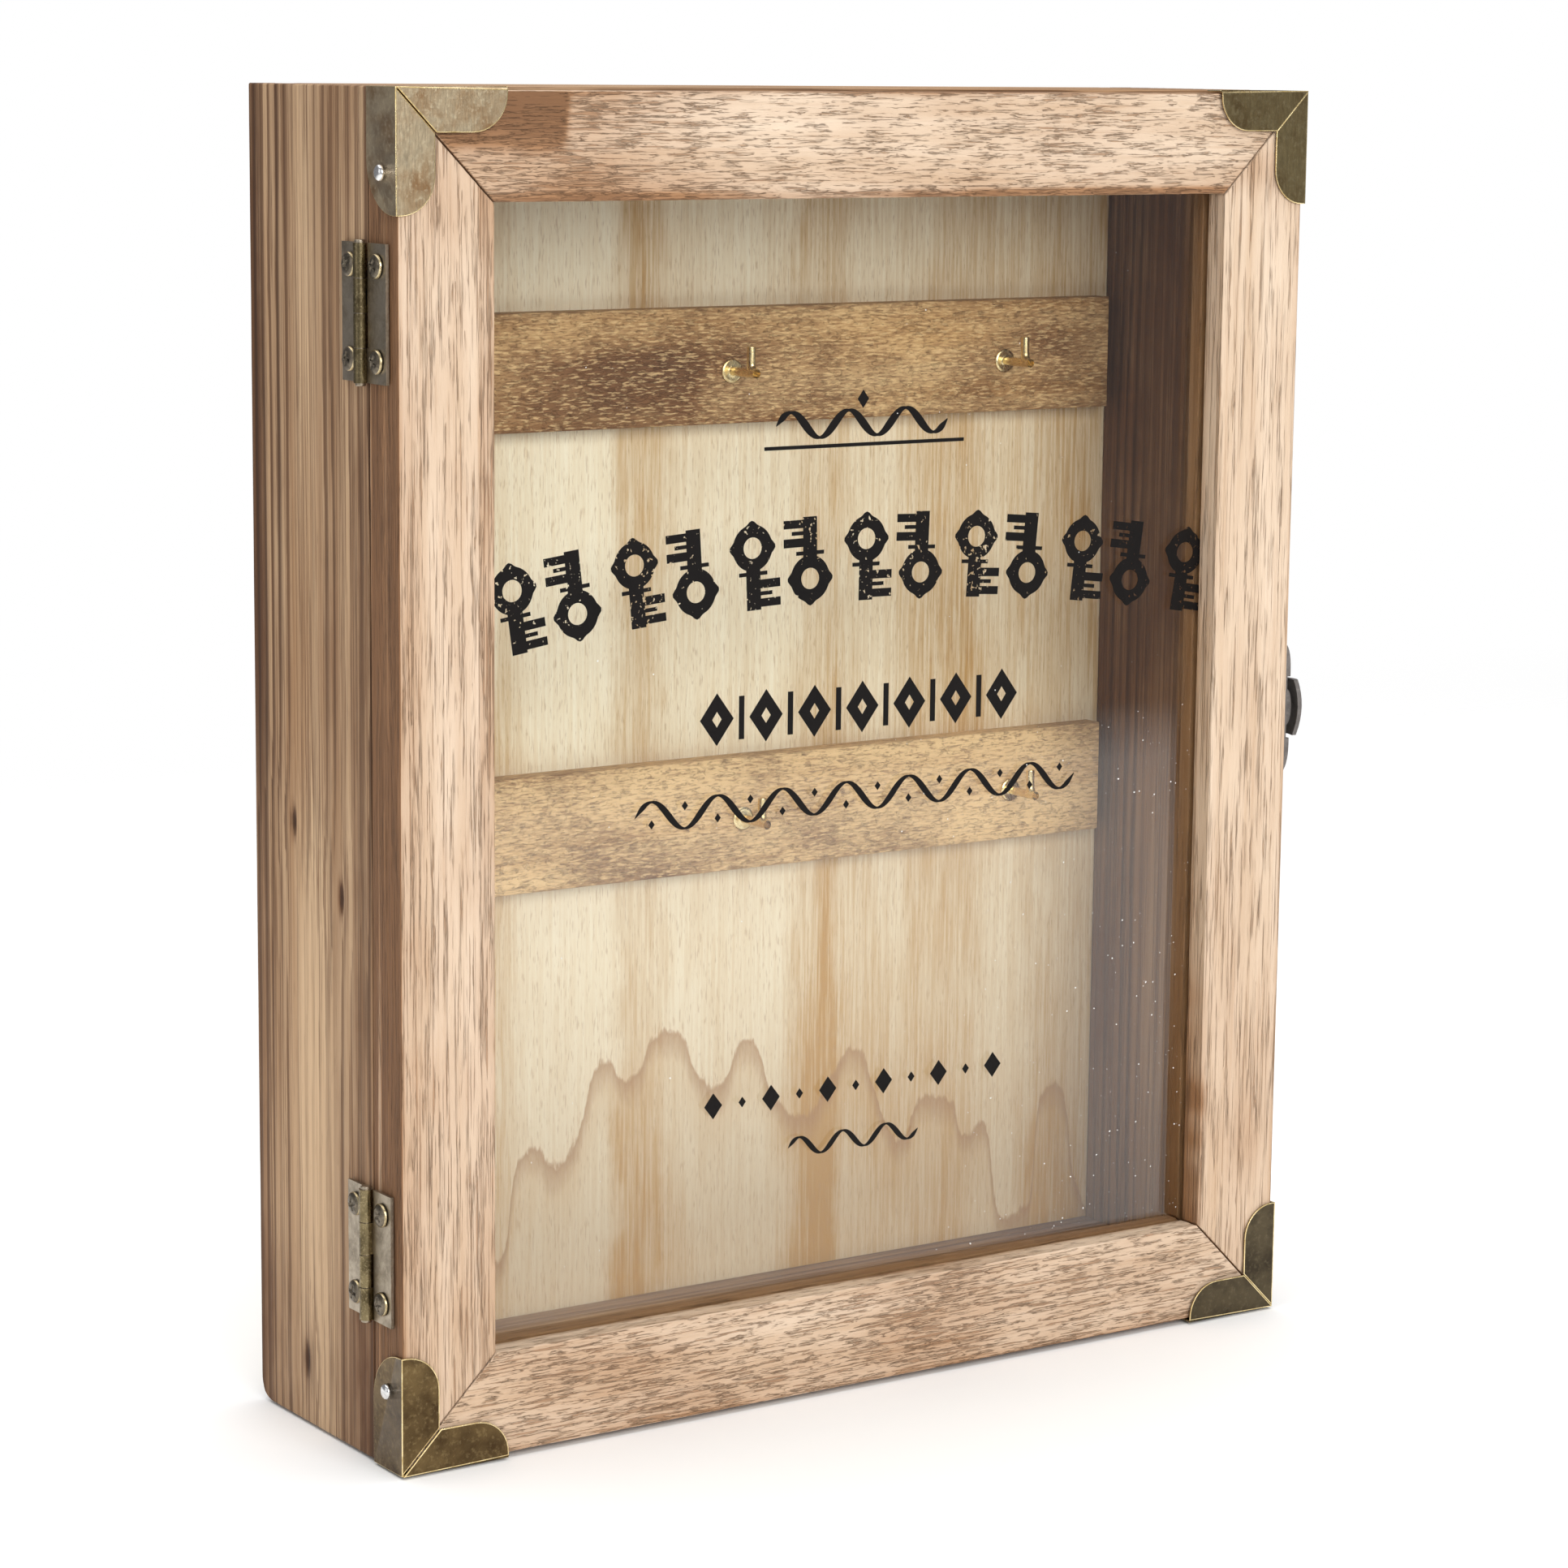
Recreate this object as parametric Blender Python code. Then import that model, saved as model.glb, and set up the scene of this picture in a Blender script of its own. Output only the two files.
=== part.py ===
"""Key cabinet: a wooden wall box with a hinged glass door, two rows of hooks and a side latch."""

import math

import bmesh
import bpy
from mathutils import Matrix, Vector

MM = 0.001

# Room between neighbouring pieces
GAP = 0.3 * MM  # pieces that rest on each other
PIN_PLAY = 0.08 * MM  # a pin in its knuckles, on the radius
HOLE_PLAY = 0.3 * MM  # a screw or nail in its hole, on the radius

# Overall sizes
WIDTH = 233.6 * MM
HEIGHT = 285.0 * MM
BOX_DEPTH = 51.8 * MM
DOOR_THICKNESS = 12.1 * MM
SEAM = 0.4 * MM  # between the closed door and the box

# Box
WALL = 10.0 * MM
EASE = 0.5 * MM  # sanded edges
HEEL_RADIUS = 5.0 * MM  # lower rear corner of each side board
BACK_THICKNESS = 3.0 * MM
BACK_RECESS = 2.0 * MM
REBATE = 4.0 * MM  # the back board's ledge

# Key rails and hooks
RAIL_HEIGHT = 26.0 * MM
RAIL_THICKNESS = 5.5 * MM
RAIL_END_GAP = 3.0 * MM
UPPER_RAIL_DROP = 61.8 * MM  # its middle below the box's top
LOWER_RAIL_Z = 121.2 * MM
HOOK_PITCH = 76.0 * MM
UPPER_HOOK_SHIFT = -3.0 * MM
LOWER_HOOK_SHIFT = 1.0 * MM
HOOK_DROP = 1.2 * MM  # the hooks sit a little under the rail's middle
HOOK_WIRE = 1.0 * MM  # radius
HOOK_FLANGE = 2.7 * MM
HOOK_FLANGE_THICKNESS = 0.7 * MM
HOOK_REACH = 13.5 * MM
HOOK_RISE = 6.0 * MM
HOOK_BEND = 2.2 * MM
HOOK_THREAD = 4.0 * MM  # length inside the rail
HOOK_THREAD_RADIUS = 0.8 * MM

# Door
FRAME_WIDTH = 22.2 * MM
FRAME_LIP = 6.0 * MM  # wood in front of the glass
GLASS_REBATE = 5.0 * MM
GLASS_THICKNESS = 2.0 * MM
GLASS_PLAY = 0.5 * MM
MITRE_GAP = 0.2 * MM

# Sheet-brass corners of the door
CORNER_SHEET = 0.4 * MM
CORNER_LEG = 25.4 * MM
CORNER_PETAL = 9.0 * MM
CORNER_FLANGE_SHORT = 0.6 * MM  # the side flanges end this far before the door's back
CORNER_ROUND = 10.0 * MM
CORNER_NAIL_ALONG = 17.0 * MM
CORNER_NAIL_BACK = 6.0 * MM

# Hinges
HINGE_HEIGHT = 28.0 * MM
HINGE_FROM_END = 45.0 * MM  # its middle to the nearer end of the box
LEAF_WIDTH = 9.2 * MM
LEAF_THICKNESS = 0.7 * MM
BARREL_RADIUS = 1.45 * MM
BARREL_LIFT = 0.05 * MM
KNUCKLES = 4
HINGE_PIN = 0.72 * MM
HINGE_PIN_HEAD = 1.15 * MM
PIN_HEAD_THICKNESS = 0.5 * MM
HINGE_SCREW_UP = 9.5 * MM
HINGE_SCREW_OUT = 5.6 * MM

# Latch: a keeper on the door, and a hinged tongue on the box
LATCH_LIFT = 1.0 * MM  # above the box's middle
KEEPER_LENGTH = 30.0 * MM
KEEPER_SETBACK = 1.2 * MM
KEEPER_BACK_MARGIN = 0.8 * MM
KEEPER_THICKNESS = 2.0 * MM
KEEPER_TAPER = 6.0 * MM
KEEPER_GROOVE_THICKNESS = 1.1 * MM
CATCH_HEIGHT = 2.7 * MM
CATCH_LENGTH = 8.8 * MM
CATCH_DEPTH = 4.6 * MM
TONGUE_WIDTH = 13.0 * MM
TONGUE_THICKNESS = 1.1 * MM
TONGUE_ARCH = 1.5 * MM
TONGUE_ARCHED_FROM = 0.4  # share of its reach over which the flat knuckle end becomes arched
# From its knuckle to its rolled nose: share of the reach, crown above the knuckle, thickness
TONGUE_STATIONS = (
    (0.00, 0.00 * MM, 1.10 * MM),
    (0.25, 0.35 * MM, 1.10 * MM),
    (0.50, 0.65 * MM, 1.10 * MM),
    (0.72, 0.90 * MM, 1.10 * MM),
    (0.84, 0.95 * MM, 1.12 * MM),
    (0.92, 0.85 * MM, 1.43 * MM),
    (0.97, 0.60 * MM, 1.49 * MM),
    (1.00, 0.10 * MM, 1.10 * MM),
)
TONGUE_SIDE_PLAY = 0.35 * MM
TONGUE_OVERHANG = 0.1 * MM  # its nose past the keeper's front edge
LATCH_PIN = 0.7 * MM
LATCH_PIN_HEAD = 1.0 * MM
LATCH_KNUCKLE = 1.45 * MM
LATCH_PIN_BACK = 3.1 * MM  # from the seam
LUG_WIDTH = 3.0 * MM
HASP_PLATE_THICKNESS = 1.2 * MM
HASP_PLATE_LENGTH = 22.0 * MM
HASP_PLATE_WIDTH = 13.4 * MM
LATCH_SCREW_SPREAD = 10.6 * MM
HASP_SCREW_SPREAD = 6.4 * MM
HASP_SCREW_BACK = 9.2 * MM  # from the plate's front edge

# Screws and nails: head radius, head height, shank radius, shank length
HINGE_SCREW = (2.6 * MM, 1.1 * MM, 1.0 * MM, 7.0 * MM)
LATCH_SCREW = (1.7 * MM, 0.8 * MM, 0.7 * MM, 6.0 * MM)
CORNER_NAIL = (1.65 * MM, 1.0 * MM, 0.55 * MM, 6.0 * MM)
HANGER_NAIL = (1.5 * MM, 0.45 * MM, 0.6 * MM, 7.0 * MM)

# A screw's cross recess: half its length and half its slot's width as shares of the head's radius, and
# its floor as a share of the head's height
CROSS_ARM = 0.56
CROSS_SLOT = 0.13
CROSS_FLOOR = 0.4

# Wall hangers
HANGER_LENGTH = 40.0 * MM
HANGER_HEIGHT = 8.0 * MM
HANGER_SHEET = 0.7 * MM
HANGER_TEETH = 9
HANGER_TOOTH = 2.2 * MM
HANGER_TOOTH_DEPTH = 1.2 * MM
HANGER_SPREAD = 70.0 * MM  # each one's middle from the cabinet's middle
HANGER_NAIL_INSET = 3.2 * MM
HANGER_NAIL_LIFT = 1.3 * MM  # above the top board's underside

SIDES = 20  # facets round a small turned piece
ARC_STEPS = 8  # facets in a quarter round

# Places that follow from the sizes
CORNER_STAND = GAP + CORNER_SHEET
DEPTH = CORNER_STAND + DOOR_THICKNESS + SEAM + BOX_DEPTH
BACK_Y = DEPTH / 2
BOX_FRONT_Y = BACK_Y - BOX_DEPTH
DOOR_BACK_Y = BOX_FRONT_Y - SEAM
DOOR_FRONT_Y = DOOR_BACK_Y - DOOR_THICKNESS
HALF_WIDTH = WIDTH / 2
HALF_INSIDE = HALF_WIDTH - WALL
UPPER_RAIL_Z = HEIGHT - UPPER_RAIL_DROP
CORNER_FLANGE = CORNER_STAND + DOOR_THICKNESS - CORNER_FLANGE_SHORT
DOOR_LOW_Z = CORNER_STAND
DOOR_HIGH_Z = HEIGHT - CORNER_STAND
BACK_FRONT_Y = BACK_Y - BACK_RECESS - BACK_THICKNESS
RAIL_FRONT_Y = BACK_FRONT_Y - RAIL_THICKNESS
HINGE_X = -HALF_WIDTH - GAP - BARREL_LIFT - BARREL_RADIUS
HINGE_Y = BOX_FRONT_Y - SEAM / 2
HINGE_HEIGHTS = (HINGE_FROM_END, HEIGHT - HINGE_FROM_END)
LATCH_PIN_OUT = GAP + HASP_PLATE_THICKNESS + GAP + LATCH_KNUCKLE
LATCH_X = HALF_WIDTH + LATCH_PIN_OUT
LATCH_Y = HINGE_Y + LATCH_PIN_BACK
LATCH_Z = HEIGHT / 2 + LATCH_LIFT

# Turns that point a piece's own +Z outwards
OUT_LEFT = Matrix.Rotation(-math.pi / 2, 4, "Y")
OUT_RIGHT = Matrix.Rotation(math.pi / 2, 4, "Y")
OUT_BACK = Matrix.Rotation(-math.pi / 2, 4, "X")

marked_holes = {}  # a piece's name to the tools that drill it, all cut at the end


def clear_scene():
    for obj in list(bpy.data.objects):
        bpy.data.objects.remove(obj, do_unlink=True)


def material(name, colour, roughness, metallic=0.0, transmission=0.0):
    made = bpy.data.materials.new(name)
    made.use_nodes = True
    shader = made.node_tree.nodes["Principled BSDF"]
    shader.inputs["Base Color"].default_value = (*colour, 1.0)
    shader.inputs["Roughness"].default_value = roughness
    shader.inputs["Metallic"].default_value = metallic
    shader.inputs["Transmission Weight"].default_value = transmission
    made.diffuse_color = (*colour, 1.0)
    return made


def pivot(name, place):
    empty = bpy.data.objects.new(name, None)
    empty.location = place
    empty.empty_display_size = 10 * MM
    bpy.context.scene.collection.objects.link(empty)
    bpy.context.view_layer.update()
    return empty


def add(name, mesh, finish, parent=None, place=None, turn=None):
    """Links a mesh as a named piece, turned and then moved to its place."""
    obj = bpy.data.objects.new(name, mesh)
    bpy.context.scene.collection.objects.link(obj)
    obj.matrix_world = Matrix.Translation(place or (0, 0, 0)) @ (turn or Matrix.Identity(4))
    if not mesh.materials:
        mesh.materials.append(finish)
    if parent:
        obj.parent = parent
        obj.matrix_parent_inverse = parent.matrix_world.inverted()
    return obj


def mesh_from(name, shape):
    bmesh.ops.recalc_face_normals(shape, faces=shape.faces)
    mesh = bpy.data.meshes.new(name)
    shape.to_mesh(mesh)
    shape.free()
    return mesh


def smoothed(mesh, degrees=35):
    mesh.shade_smooth()
    mesh.set_sharp_from_angle(angle=math.radians(degrees))
    return mesh


def block(low, high):
    """A box between two corners."""
    shape = bmesh.new()
    size = Vector(high) - Vector(low)
    middle = (Vector(high) + Vector(low)) / 2
    bmesh.ops.create_cube(shape, size=1, matrix=Matrix.Translation(middle) @ Matrix.Diagonal((*size, 1)))
    return shape


def extruded(points, travel):
    """A flat outline carried along a vector."""
    shape = bmesh.new()
    face = shape.faces.new([shape.verts.new(point) for point in points])
    moved = bmesh.ops.extrude_face_region(shape, geom=[face])["geom"]
    corners = [item for item in moved if isinstance(item, bmesh.types.BMVert)]
    bmesh.ops.translate(shape, verts=corners, vec=travel)
    return shape


def rod(start, end, radius, sides=SIDES):
    """A round bar between two points."""
    start = Vector(start)
    along = Vector(end) - start
    turn = along.to_track_quat("Z", "Y").to_matrix().to_4x4()
    shape = bmesh.new()
    bmesh.ops.create_cone(
        shape,
        cap_ends=True,
        segments=sides,
        radius1=radius,
        radius2=radius,
        depth=along.length,
        matrix=Matrix.Translation(start + along / 2) @ turn,
    )
    return shape


def turned(profile, sides=SIDES):
    """A profile of (radius, height) points, from top to bottom, spun round Z and closed at both poles."""
    shape = bmesh.new()
    rings = []
    for radius, height in profile:
        if radius == 0:
            rings.append([shape.verts.new((0, 0, height))])
            continue
        angles = [2 * math.pi * step / sides for step in range(sides)]
        rings.append([shape.verts.new((radius * math.cos(a), radius * math.sin(a), height)) for a in angles])
    join_rings(shape, rings)
    return shape


def join_rings(shape, rings):
    for upper, lower in zip(rings, rings[1:]):
        count = max(len(upper), len(lower))
        for step in range(count):
            after = (step + 1) % count
            corners = [upper[step % len(upper)], lower[step % len(lower)]]
            if len(lower) > 1:
                corners.append(lower[after])
            if len(upper) > 1:
                corners.append(upper[after])
            shape.faces.new(corners)


def quarter(centre, radii, start, steps=ARC_STEPS):
    """Points on a quarter of an ellipse, from the start angle on, in degrees."""
    angles = [math.radians(start + 90 * step / steps) for step in range(steps + 1)]
    return [(centre[0] + radii[0] * math.cos(a), centre[1] + radii[1] * math.sin(a)) for a in angles]


def reshape(obj, tool, operation):
    """Joins with a tool, or cuts with it, and keeps the result as the piece's own mesh."""
    other = add("tool", tool, obj.data.materials[0])
    other.hide_render = True
    other.display_type = "WIRE"
    modifier = obj.modifiers.new("shape", "BOOLEAN")
    modifier.operation = operation
    modifier.solver = "EXACT"
    modifier.object = other
    bpy.context.view_layer.update()
    graph = bpy.context.evaluated_depsgraph_get()
    mesh = bpy.data.meshes.new_from_object(obj.evaluated_get(graph))
    mesh.name = obj.name
    obj.modifiers.clear()
    obj.data = mesh
    bpy.data.objects.remove(other, do_unlink=True)


def cut(obj, tools):
    """Takes every tool out of a piece in one go; the tools stand clear of each other."""
    together = bmesh.new()
    for tool in tools:
        together.from_mesh(mesh_from("tool", tool))
    reshape(obj, mesh_from("tools", together), "DIFFERENCE")


def fuse(obj, tools):
    for tool in tools:
        reshape(obj, mesh_from("tool", tool), "UNION")


def eased(shape, width=EASE):
    """Takes the sharpness off a board's edges."""
    bmesh.ops.recalc_face_normals(shape, faces=shape.faces)
    bmesh.ops.bevel(shape, geom=shape.edges[:], offset=width, segments=2, profile=0.5, affect="EDGES")
    return shape


# Fasteners


def dome(radius, height, steps=4):
    """The outline of a rounded head, from its top down to its rim."""
    angles = [math.radians(90 - 80 * step / steps) for step in range(steps + 1)]
    points = [(radius * math.cos(a) / math.cos(angles[-1]), height * math.sin(a)) for a in angles]
    points[0] = (0, height)
    return points + [(radius, 0)]


def drill(place, turn, size, pieces):
    """Marks the hole for one screw or nail through or into each piece."""
    radius = size[2] + HOLE_PLAY
    out = turn.to_3x3() @ Vector((0, 0, 1))
    start = Vector(place) + GAP * out
    end = Vector(place) - (size[3] + 2 * GAP) * out
    for piece in pieces:
        mark_hole(piece, rod(start, end, radius))


def mark_hole(piece, tool):
    marked_holes.setdefault(piece.name, []).append(tool)


def cut_holes():
    for name, tools in marked_holes.items():
        cut(bpy.data.objects[name], tools)


def nail_mesh(name, size):
    head, rise, shank, length = size
    point = 2 * shank
    profile = dome(head, rise) + [(shank, 0), (shank, point - length), (0, -length)]
    return smoothed(mesh_from(name, turned(profile)))


def screw(name, size, finish, parent, place, turn):
    """A pan-head screw with a cross recess; its origin is under the head."""
    head, rise, shank, length = size
    obj = add(name, nail_mesh(name, size), finish, parent, place, turn)
    arm = CROSS_ARM * head
    slot = CROSS_SLOT * head
    floor = CROSS_FLOOR * rise
    world = obj.matrix_world.copy()
    obj.matrix_world = Matrix.Identity(4)
    limb = [(arm, slot), (slot, slot), (slot, arm)]
    cross = []
    for a, b in ((1, 0), (0, 1), (-1, 0), (0, -1)):
        cross += [(x * a - y * b, x * b + y * a, floor) for x, y in limb]
    cut(obj, [extruded(cross, (0, 0, 2 * rise))])
    obj.matrix_world = world
    smoothed(obj.data)
    return obj


def pin_mesh(name, radius, head, length):
    """A straight pin with a peened button at each end, round its own Z."""
    half = length / 2
    inner = half - PIN_HEAD_THICKNESS
    edge = 0.75 * head
    shoulder = half - 0.4 * PIN_HEAD_THICKNESS
    profile = [(0, half), (edge, half), (head, shoulder), (head, inner), (radius, inner)]
    profile += [(r, -z) for r, z in reversed(profile)]
    return smoothed(mesh_from(name, turned(profile)))


# Box


def side_board(name, side, finish):
    outer = side * HALF_WIDTH
    heel = quarter((BACK_Y - HEEL_RADIUS, HEEL_RADIUS), (HEEL_RADIUS, HEEL_RADIUS), -90)
    outline = [(BOX_FRONT_Y, 0)] + heel + [(BACK_Y, HEIGHT), (BOX_FRONT_Y, HEIGHT)]
    shape = extruded([(outer, y, z) for y, z in outline], (-side * WALL, 0, 0))
    return add(name, mesh_from(name, eased(shape)), finish)


def end_board(name, low_z, finish):
    half = HALF_INSIDE - GAP
    shape = block((-half, BOX_FRONT_Y, low_z), (half, BACK_Y, low_z + WALL))
    return add(name, mesh_from(name, eased(shape)), finish)


def back_rebate():
    """The hollow behind the ledge that the back board sits on."""
    half = HALF_INSIDE + REBATE
    low = (-half, BACK_FRONT_Y - GAP, WALL - REBATE)
    return block(low, (half, BACK_Y + WALL, HEIGHT - WALL + REBATE))


def back_board(finish):
    half = HALF_INSIDE + REBATE - GAP
    inset = WALL - REBATE + GAP
    shape = block((-half, BACK_FRONT_Y, inset), (half, BACK_FRONT_Y + BACK_THICKNESS, HEIGHT - inset))
    return add("back_panel", mesh_from("back_panel", shape), finish)


def key_rail(name, middle_z, hook_xs, finish):
    half = HALF_INSIDE - RAIL_END_GAP
    low = (-half, RAIL_FRONT_Y, middle_z - RAIL_HEIGHT / 2)
    high = (half, BACK_FRONT_Y - GAP, middle_z + RAIL_HEIGHT / 2)
    obj = add(name, mesh_from(name, eased(block(low, high), EASE / 2)), finish)
    deep = RAIL_FRONT_Y + HOOK_THREAD + GAP
    z = middle_z - HOOK_DROP
    holes = [rod((x, RAIL_FRONT_Y - GAP, z), (x, deep, z), HOOK_THREAD_RADIUS + HOLE_PLAY) for x in hook_xs]
    for hole in holes:
        mark_hole(obj, hole)
    return obj


def hook_mesh():
    """A bent wire hook with a round flange, swept from its screwed end forwards and then up."""
    flange_back = -GAP
    flange_front = flange_back - HOOK_FLANGE_THICKNESS
    rim = 0.2 * HOOK_FLANGE_THICKNESS
    stations = [
        (HOOK_THREAD, 0.3 * HOOK_THREAD_RADIUS),
        (HOOK_THREAD - HOOK_THREAD_RADIUS, HOOK_THREAD_RADIUS),
        (flange_back, HOOK_THREAD_RADIUS),
        (flange_back, HOOK_FLANGE - rim),
        (flange_back - rim, HOOK_FLANGE),
        (flange_front + rim, HOOK_FLANGE),
        (flange_front, HOOK_FLANGE - rim),
        (flange_front, HOOK_WIRE),
    ]
    rings = [(Vector((0, y, 0)), 0.0, radius) for y, radius in stations]
    bend_y = -HOOK_REACH + HOOK_WIRE + HOOK_BEND
    for step in range(ARC_STEPS + 1):
        angle = math.pi / 2 * step / ARC_STEPS
        place = Vector((0, bend_y - HOOK_BEND * math.sin(angle), HOOK_BEND * (1 - math.cos(angle))))
        rings.append((place, angle, HOOK_WIRE))
    tip_y = bend_y - HOOK_BEND
    for fall, share in ((0.6, 1.0), (0.25, 0.85), (0.0, 0.4)):
        rings.append((Vector((0, tip_y, HOOK_RISE - fall * HOOK_WIRE)), math.pi / 2, share * HOOK_WIRE))
    shape = bmesh.new()
    loops = []
    sides = 12
    for place, lean, radius in rings:
        up = Vector((0, math.sin(lean), math.cos(lean)))
        right = Vector((1, 0, 0))
        loop = []
        for step in range(sides):
            angle = 2 * math.pi * step / sides
            spoke = math.cos(angle) * right + math.sin(angle) * up
            loop.append(shape.verts.new(place + radius * spoke))
        loops.append(loop)
    join_rings(shape, loops)
    shape.faces.new(loops[0])
    shape.faces.new(loops[-1])
    return smoothed(mesh_from("hook", shape))


def hooks(row_name, middle_z, xs, finish):
    mesh = hook_mesh()
    for name, x in zip(("left", "middle", "right"), xs):
        add(f"{row_name}_{name}_hook", mesh, finish, place=(x, RAIL_FRONT_Y, middle_z - HOOK_DROP))


def hanger(name, middle_x, finish):
    """A sawtooth hanger: a thin strip whose lower edge is toothed in the middle."""
    top = HEIGHT - WALL + REBATE - 3 * GAP
    low = top - HANGER_HEIGHT
    half = HANGER_LENGTH / 2
    toothed = HANGER_TEETH * HANGER_TOOTH / 2
    outline = [(-half, top), (-half, low), (-toothed, low)]
    for tooth in range(HANGER_TEETH):
        left = -toothed + tooth * HANGER_TOOTH
        outline.append((left + HANGER_TOOTH / 2, low + HANGER_TOOTH_DEPTH))
        outline.append((left + HANGER_TOOTH, low))
    outline += [(half, low), (half, top)]
    y = BACK_FRONT_Y + BACK_THICKNESS + GAP
    shape = extruded([(middle_x + x, y, z) for x, z in outline], (0, HANGER_SHEET, 0))
    return add(name, mesh_from(name, shape), finish)


# Door


def frame_member(name, start, along, inward, length, finish, parent):
    """One mitred member of the door: its profile runs from the outer edge inwards and from the front back."""
    s = FRAME_WIDTH
    rebate_s = s - GLASS_REBATE
    profile = [
        (0, EASE),
        (EASE, 0),
        (s - EASE, 0),
        (s, EASE),
        (s, FRAME_LIP),
        (rebate_s, FRAME_LIP),
        (rebate_s, DOOR_THICKNESS),
        (EASE, DOOR_THICKNESS),
        (0, DOOR_THICKNESS - EASE),
    ]
    return add(name, mitred_bar(name, profile, start, along, inward, length), finish, parent)


def mitred_bar(name, profile, start, along, inward, length):
    """A bar whose ends are cut at 45 degrees, so that it meets its neighbours at the corners."""
    shape = bmesh.new()
    ends = []
    for low_end in (True, False):
        ring = []
        for across, deep in profile:
            setback = across + MITRE_GAP
            travel = setback if low_end else length - setback
            point = Vector(start) + travel * Vector(along) + across * Vector(inward)
            ring.append(shape.verts.new((point.x, DOOR_FRONT_Y + deep, point.z)))
        ends.append(ring)
    join_rings(shape, ends)
    shape.faces.new(ends[0])
    shape.faces.new(ends[1])
    return mesh_from(name, shape)


def door_sides():
    """Each member's name, outer corner, direction, inward direction and length."""
    tall = DOOR_HIGH_Z - DOOR_LOW_Z
    left, right = -HALF_WIDTH, HALF_WIDTH
    return (
        ("left", (left, 0, DOOR_LOW_Z), (0, 0, 1), (1, 0, 0), tall),
        ("right", (right, 0, DOOR_LOW_Z), (0, 0, 1), (-1, 0, 0), tall),
        ("bottom", (left, 0, DOOR_LOW_Z), (1, 0, 0), (0, 0, 1), WIDTH),
        ("top", (left, 0, DOOR_HIGH_Z), (1, 0, 0), (0, 0, -1), WIDTH),
    )


def door_frame(finish, bead_finish, parent):
    made = {}
    names = {"left": "left_stile", "right": "right_stile", "bottom": "bottom_rail", "top": "top_rail"}
    bead_front = FRAME_LIP + GAP + GLASS_THICKNESS + GAP
    outer = FRAME_WIDTH - GLASS_REBATE + GAP
    bead = [(outer, bead_front), (FRAME_WIDTH, bead_front), (FRAME_WIDTH, DOOR_THICKNESS - EASE)]
    bead += [(FRAME_WIDTH - EASE, DOOR_THICKNESS), (outer, DOOR_THICKNESS)]
    for side, start, along, inward, length in door_sides():
        name = f"door_{names[side]}"
        made[side] = frame_member(name, start, along, inward, length, finish, parent)
        bead_name = f"{side}_glazing_bead"
        mesh = mitred_bar(bead_name, bead, start, along, inward, length)
        add(bead_name, mesh, bead_finish, parent)
    return made


def glass(finish, parent):
    inset = FRAME_WIDTH - GLASS_REBATE + GLASS_PLAY
    front = DOOR_FRONT_Y + FRAME_LIP + GAP
    low = (-HALF_WIDTH + inset, front, DOOR_LOW_Z + inset)
    high = (HALF_WIDTH - inset, front + GLASS_THICKNESS, DOOR_HIGH_Z - inset)
    return add("glass_pane", mesh_from("glass_pane", block(low, high)), finish, parent)


def corner_point(side, end, inwards, back, along):
    """A point on a corner piece, counted from its outermost corner."""
    x = side * (HALF_WIDTH + CORNER_STAND - inwards)
    z = HEIGHT - along if end > 0 else along
    return (x, DOOR_FRONT_Y - CORNER_STAND + back, z)


def corner_piece(name, side, end, finish, parent):
    """A stamped three-way corner: a front of two petals, a side flange and an end flange."""
    shape = bmesh.new()
    corners = {}

    def vert(inwards, back, along):
        key = tuple(round(value, 7) for value in (inwards, back, along))
        if key not in corners:
            corners[key] = shape.verts.new(corner_point(side, end, *key))
        return corners[key]

    leg, petal = CORNER_LEG, CORNER_PETAL
    straight = leg - petal
    lying = quarter((straight, 0), (petal, petal), 0)
    standing = quarter((0, straight), (petal, petal), 0)
    front = [(0, 0)] + lying + [(petal, petal)] + standing
    shape.faces.new([vert(a, 0, c) for a, c in front])
    flange = [(0, 0), (CORNER_FLANGE, 0)]
    flange += quarter((0, leg - CORNER_ROUND), (CORNER_FLANGE, CORNER_ROUND), 0)
    shape.faces.new([vert(0, b, c) for b, c in flange])
    shape.faces.new([vert(c, b, 0) for b, c in flange])
    bmesh.ops.recalc_face_normals(shape, faces=shape.faces)
    shape.normal_update()
    front_face = min(shape.faces, key=lambda face: face.calc_center_median().y)
    if front_face.normal.y > 0:
        bmesh.ops.reverse_faces(shape, faces=shape.faces)
    mesh = bpy.data.meshes.new(name)
    shape.to_mesh(mesh)
    shape.free()
    obj = add(name, mesh, finish, parent)
    solid = obj.modifiers.new("sheet", "SOLIDIFY")
    solid.thickness = CORNER_SHEET
    solid.offset = -1
    solid.use_even_offset = True
    return obj


def door_corners(members, finish, nail_finish, parent):
    """The four corners, each with one nail through its side flange."""
    nail = nail_mesh("corner_nail", CORNER_NAIL)
    for side, side_name in ((-1, "left"), (1, "right")):
        for end, end_name in ((-1, "bottom"), (1, "top")):
            name = f"{end_name}_{side_name}_corner"
            obj = corner_piece(name, side, end, finish, parent)
            place = corner_point(side, end, -GAP, CORNER_NAIL_BACK, CORNER_NAIL_ALONG)
            turn = OUT_RIGHT if side > 0 else OUT_LEFT
            drill(place, turn, CORNER_NAIL, [obj, members[side_name]])
            add(f"{name}_side_nail", nail, nail_finish, parent, place, turn)


# Hinges


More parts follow.
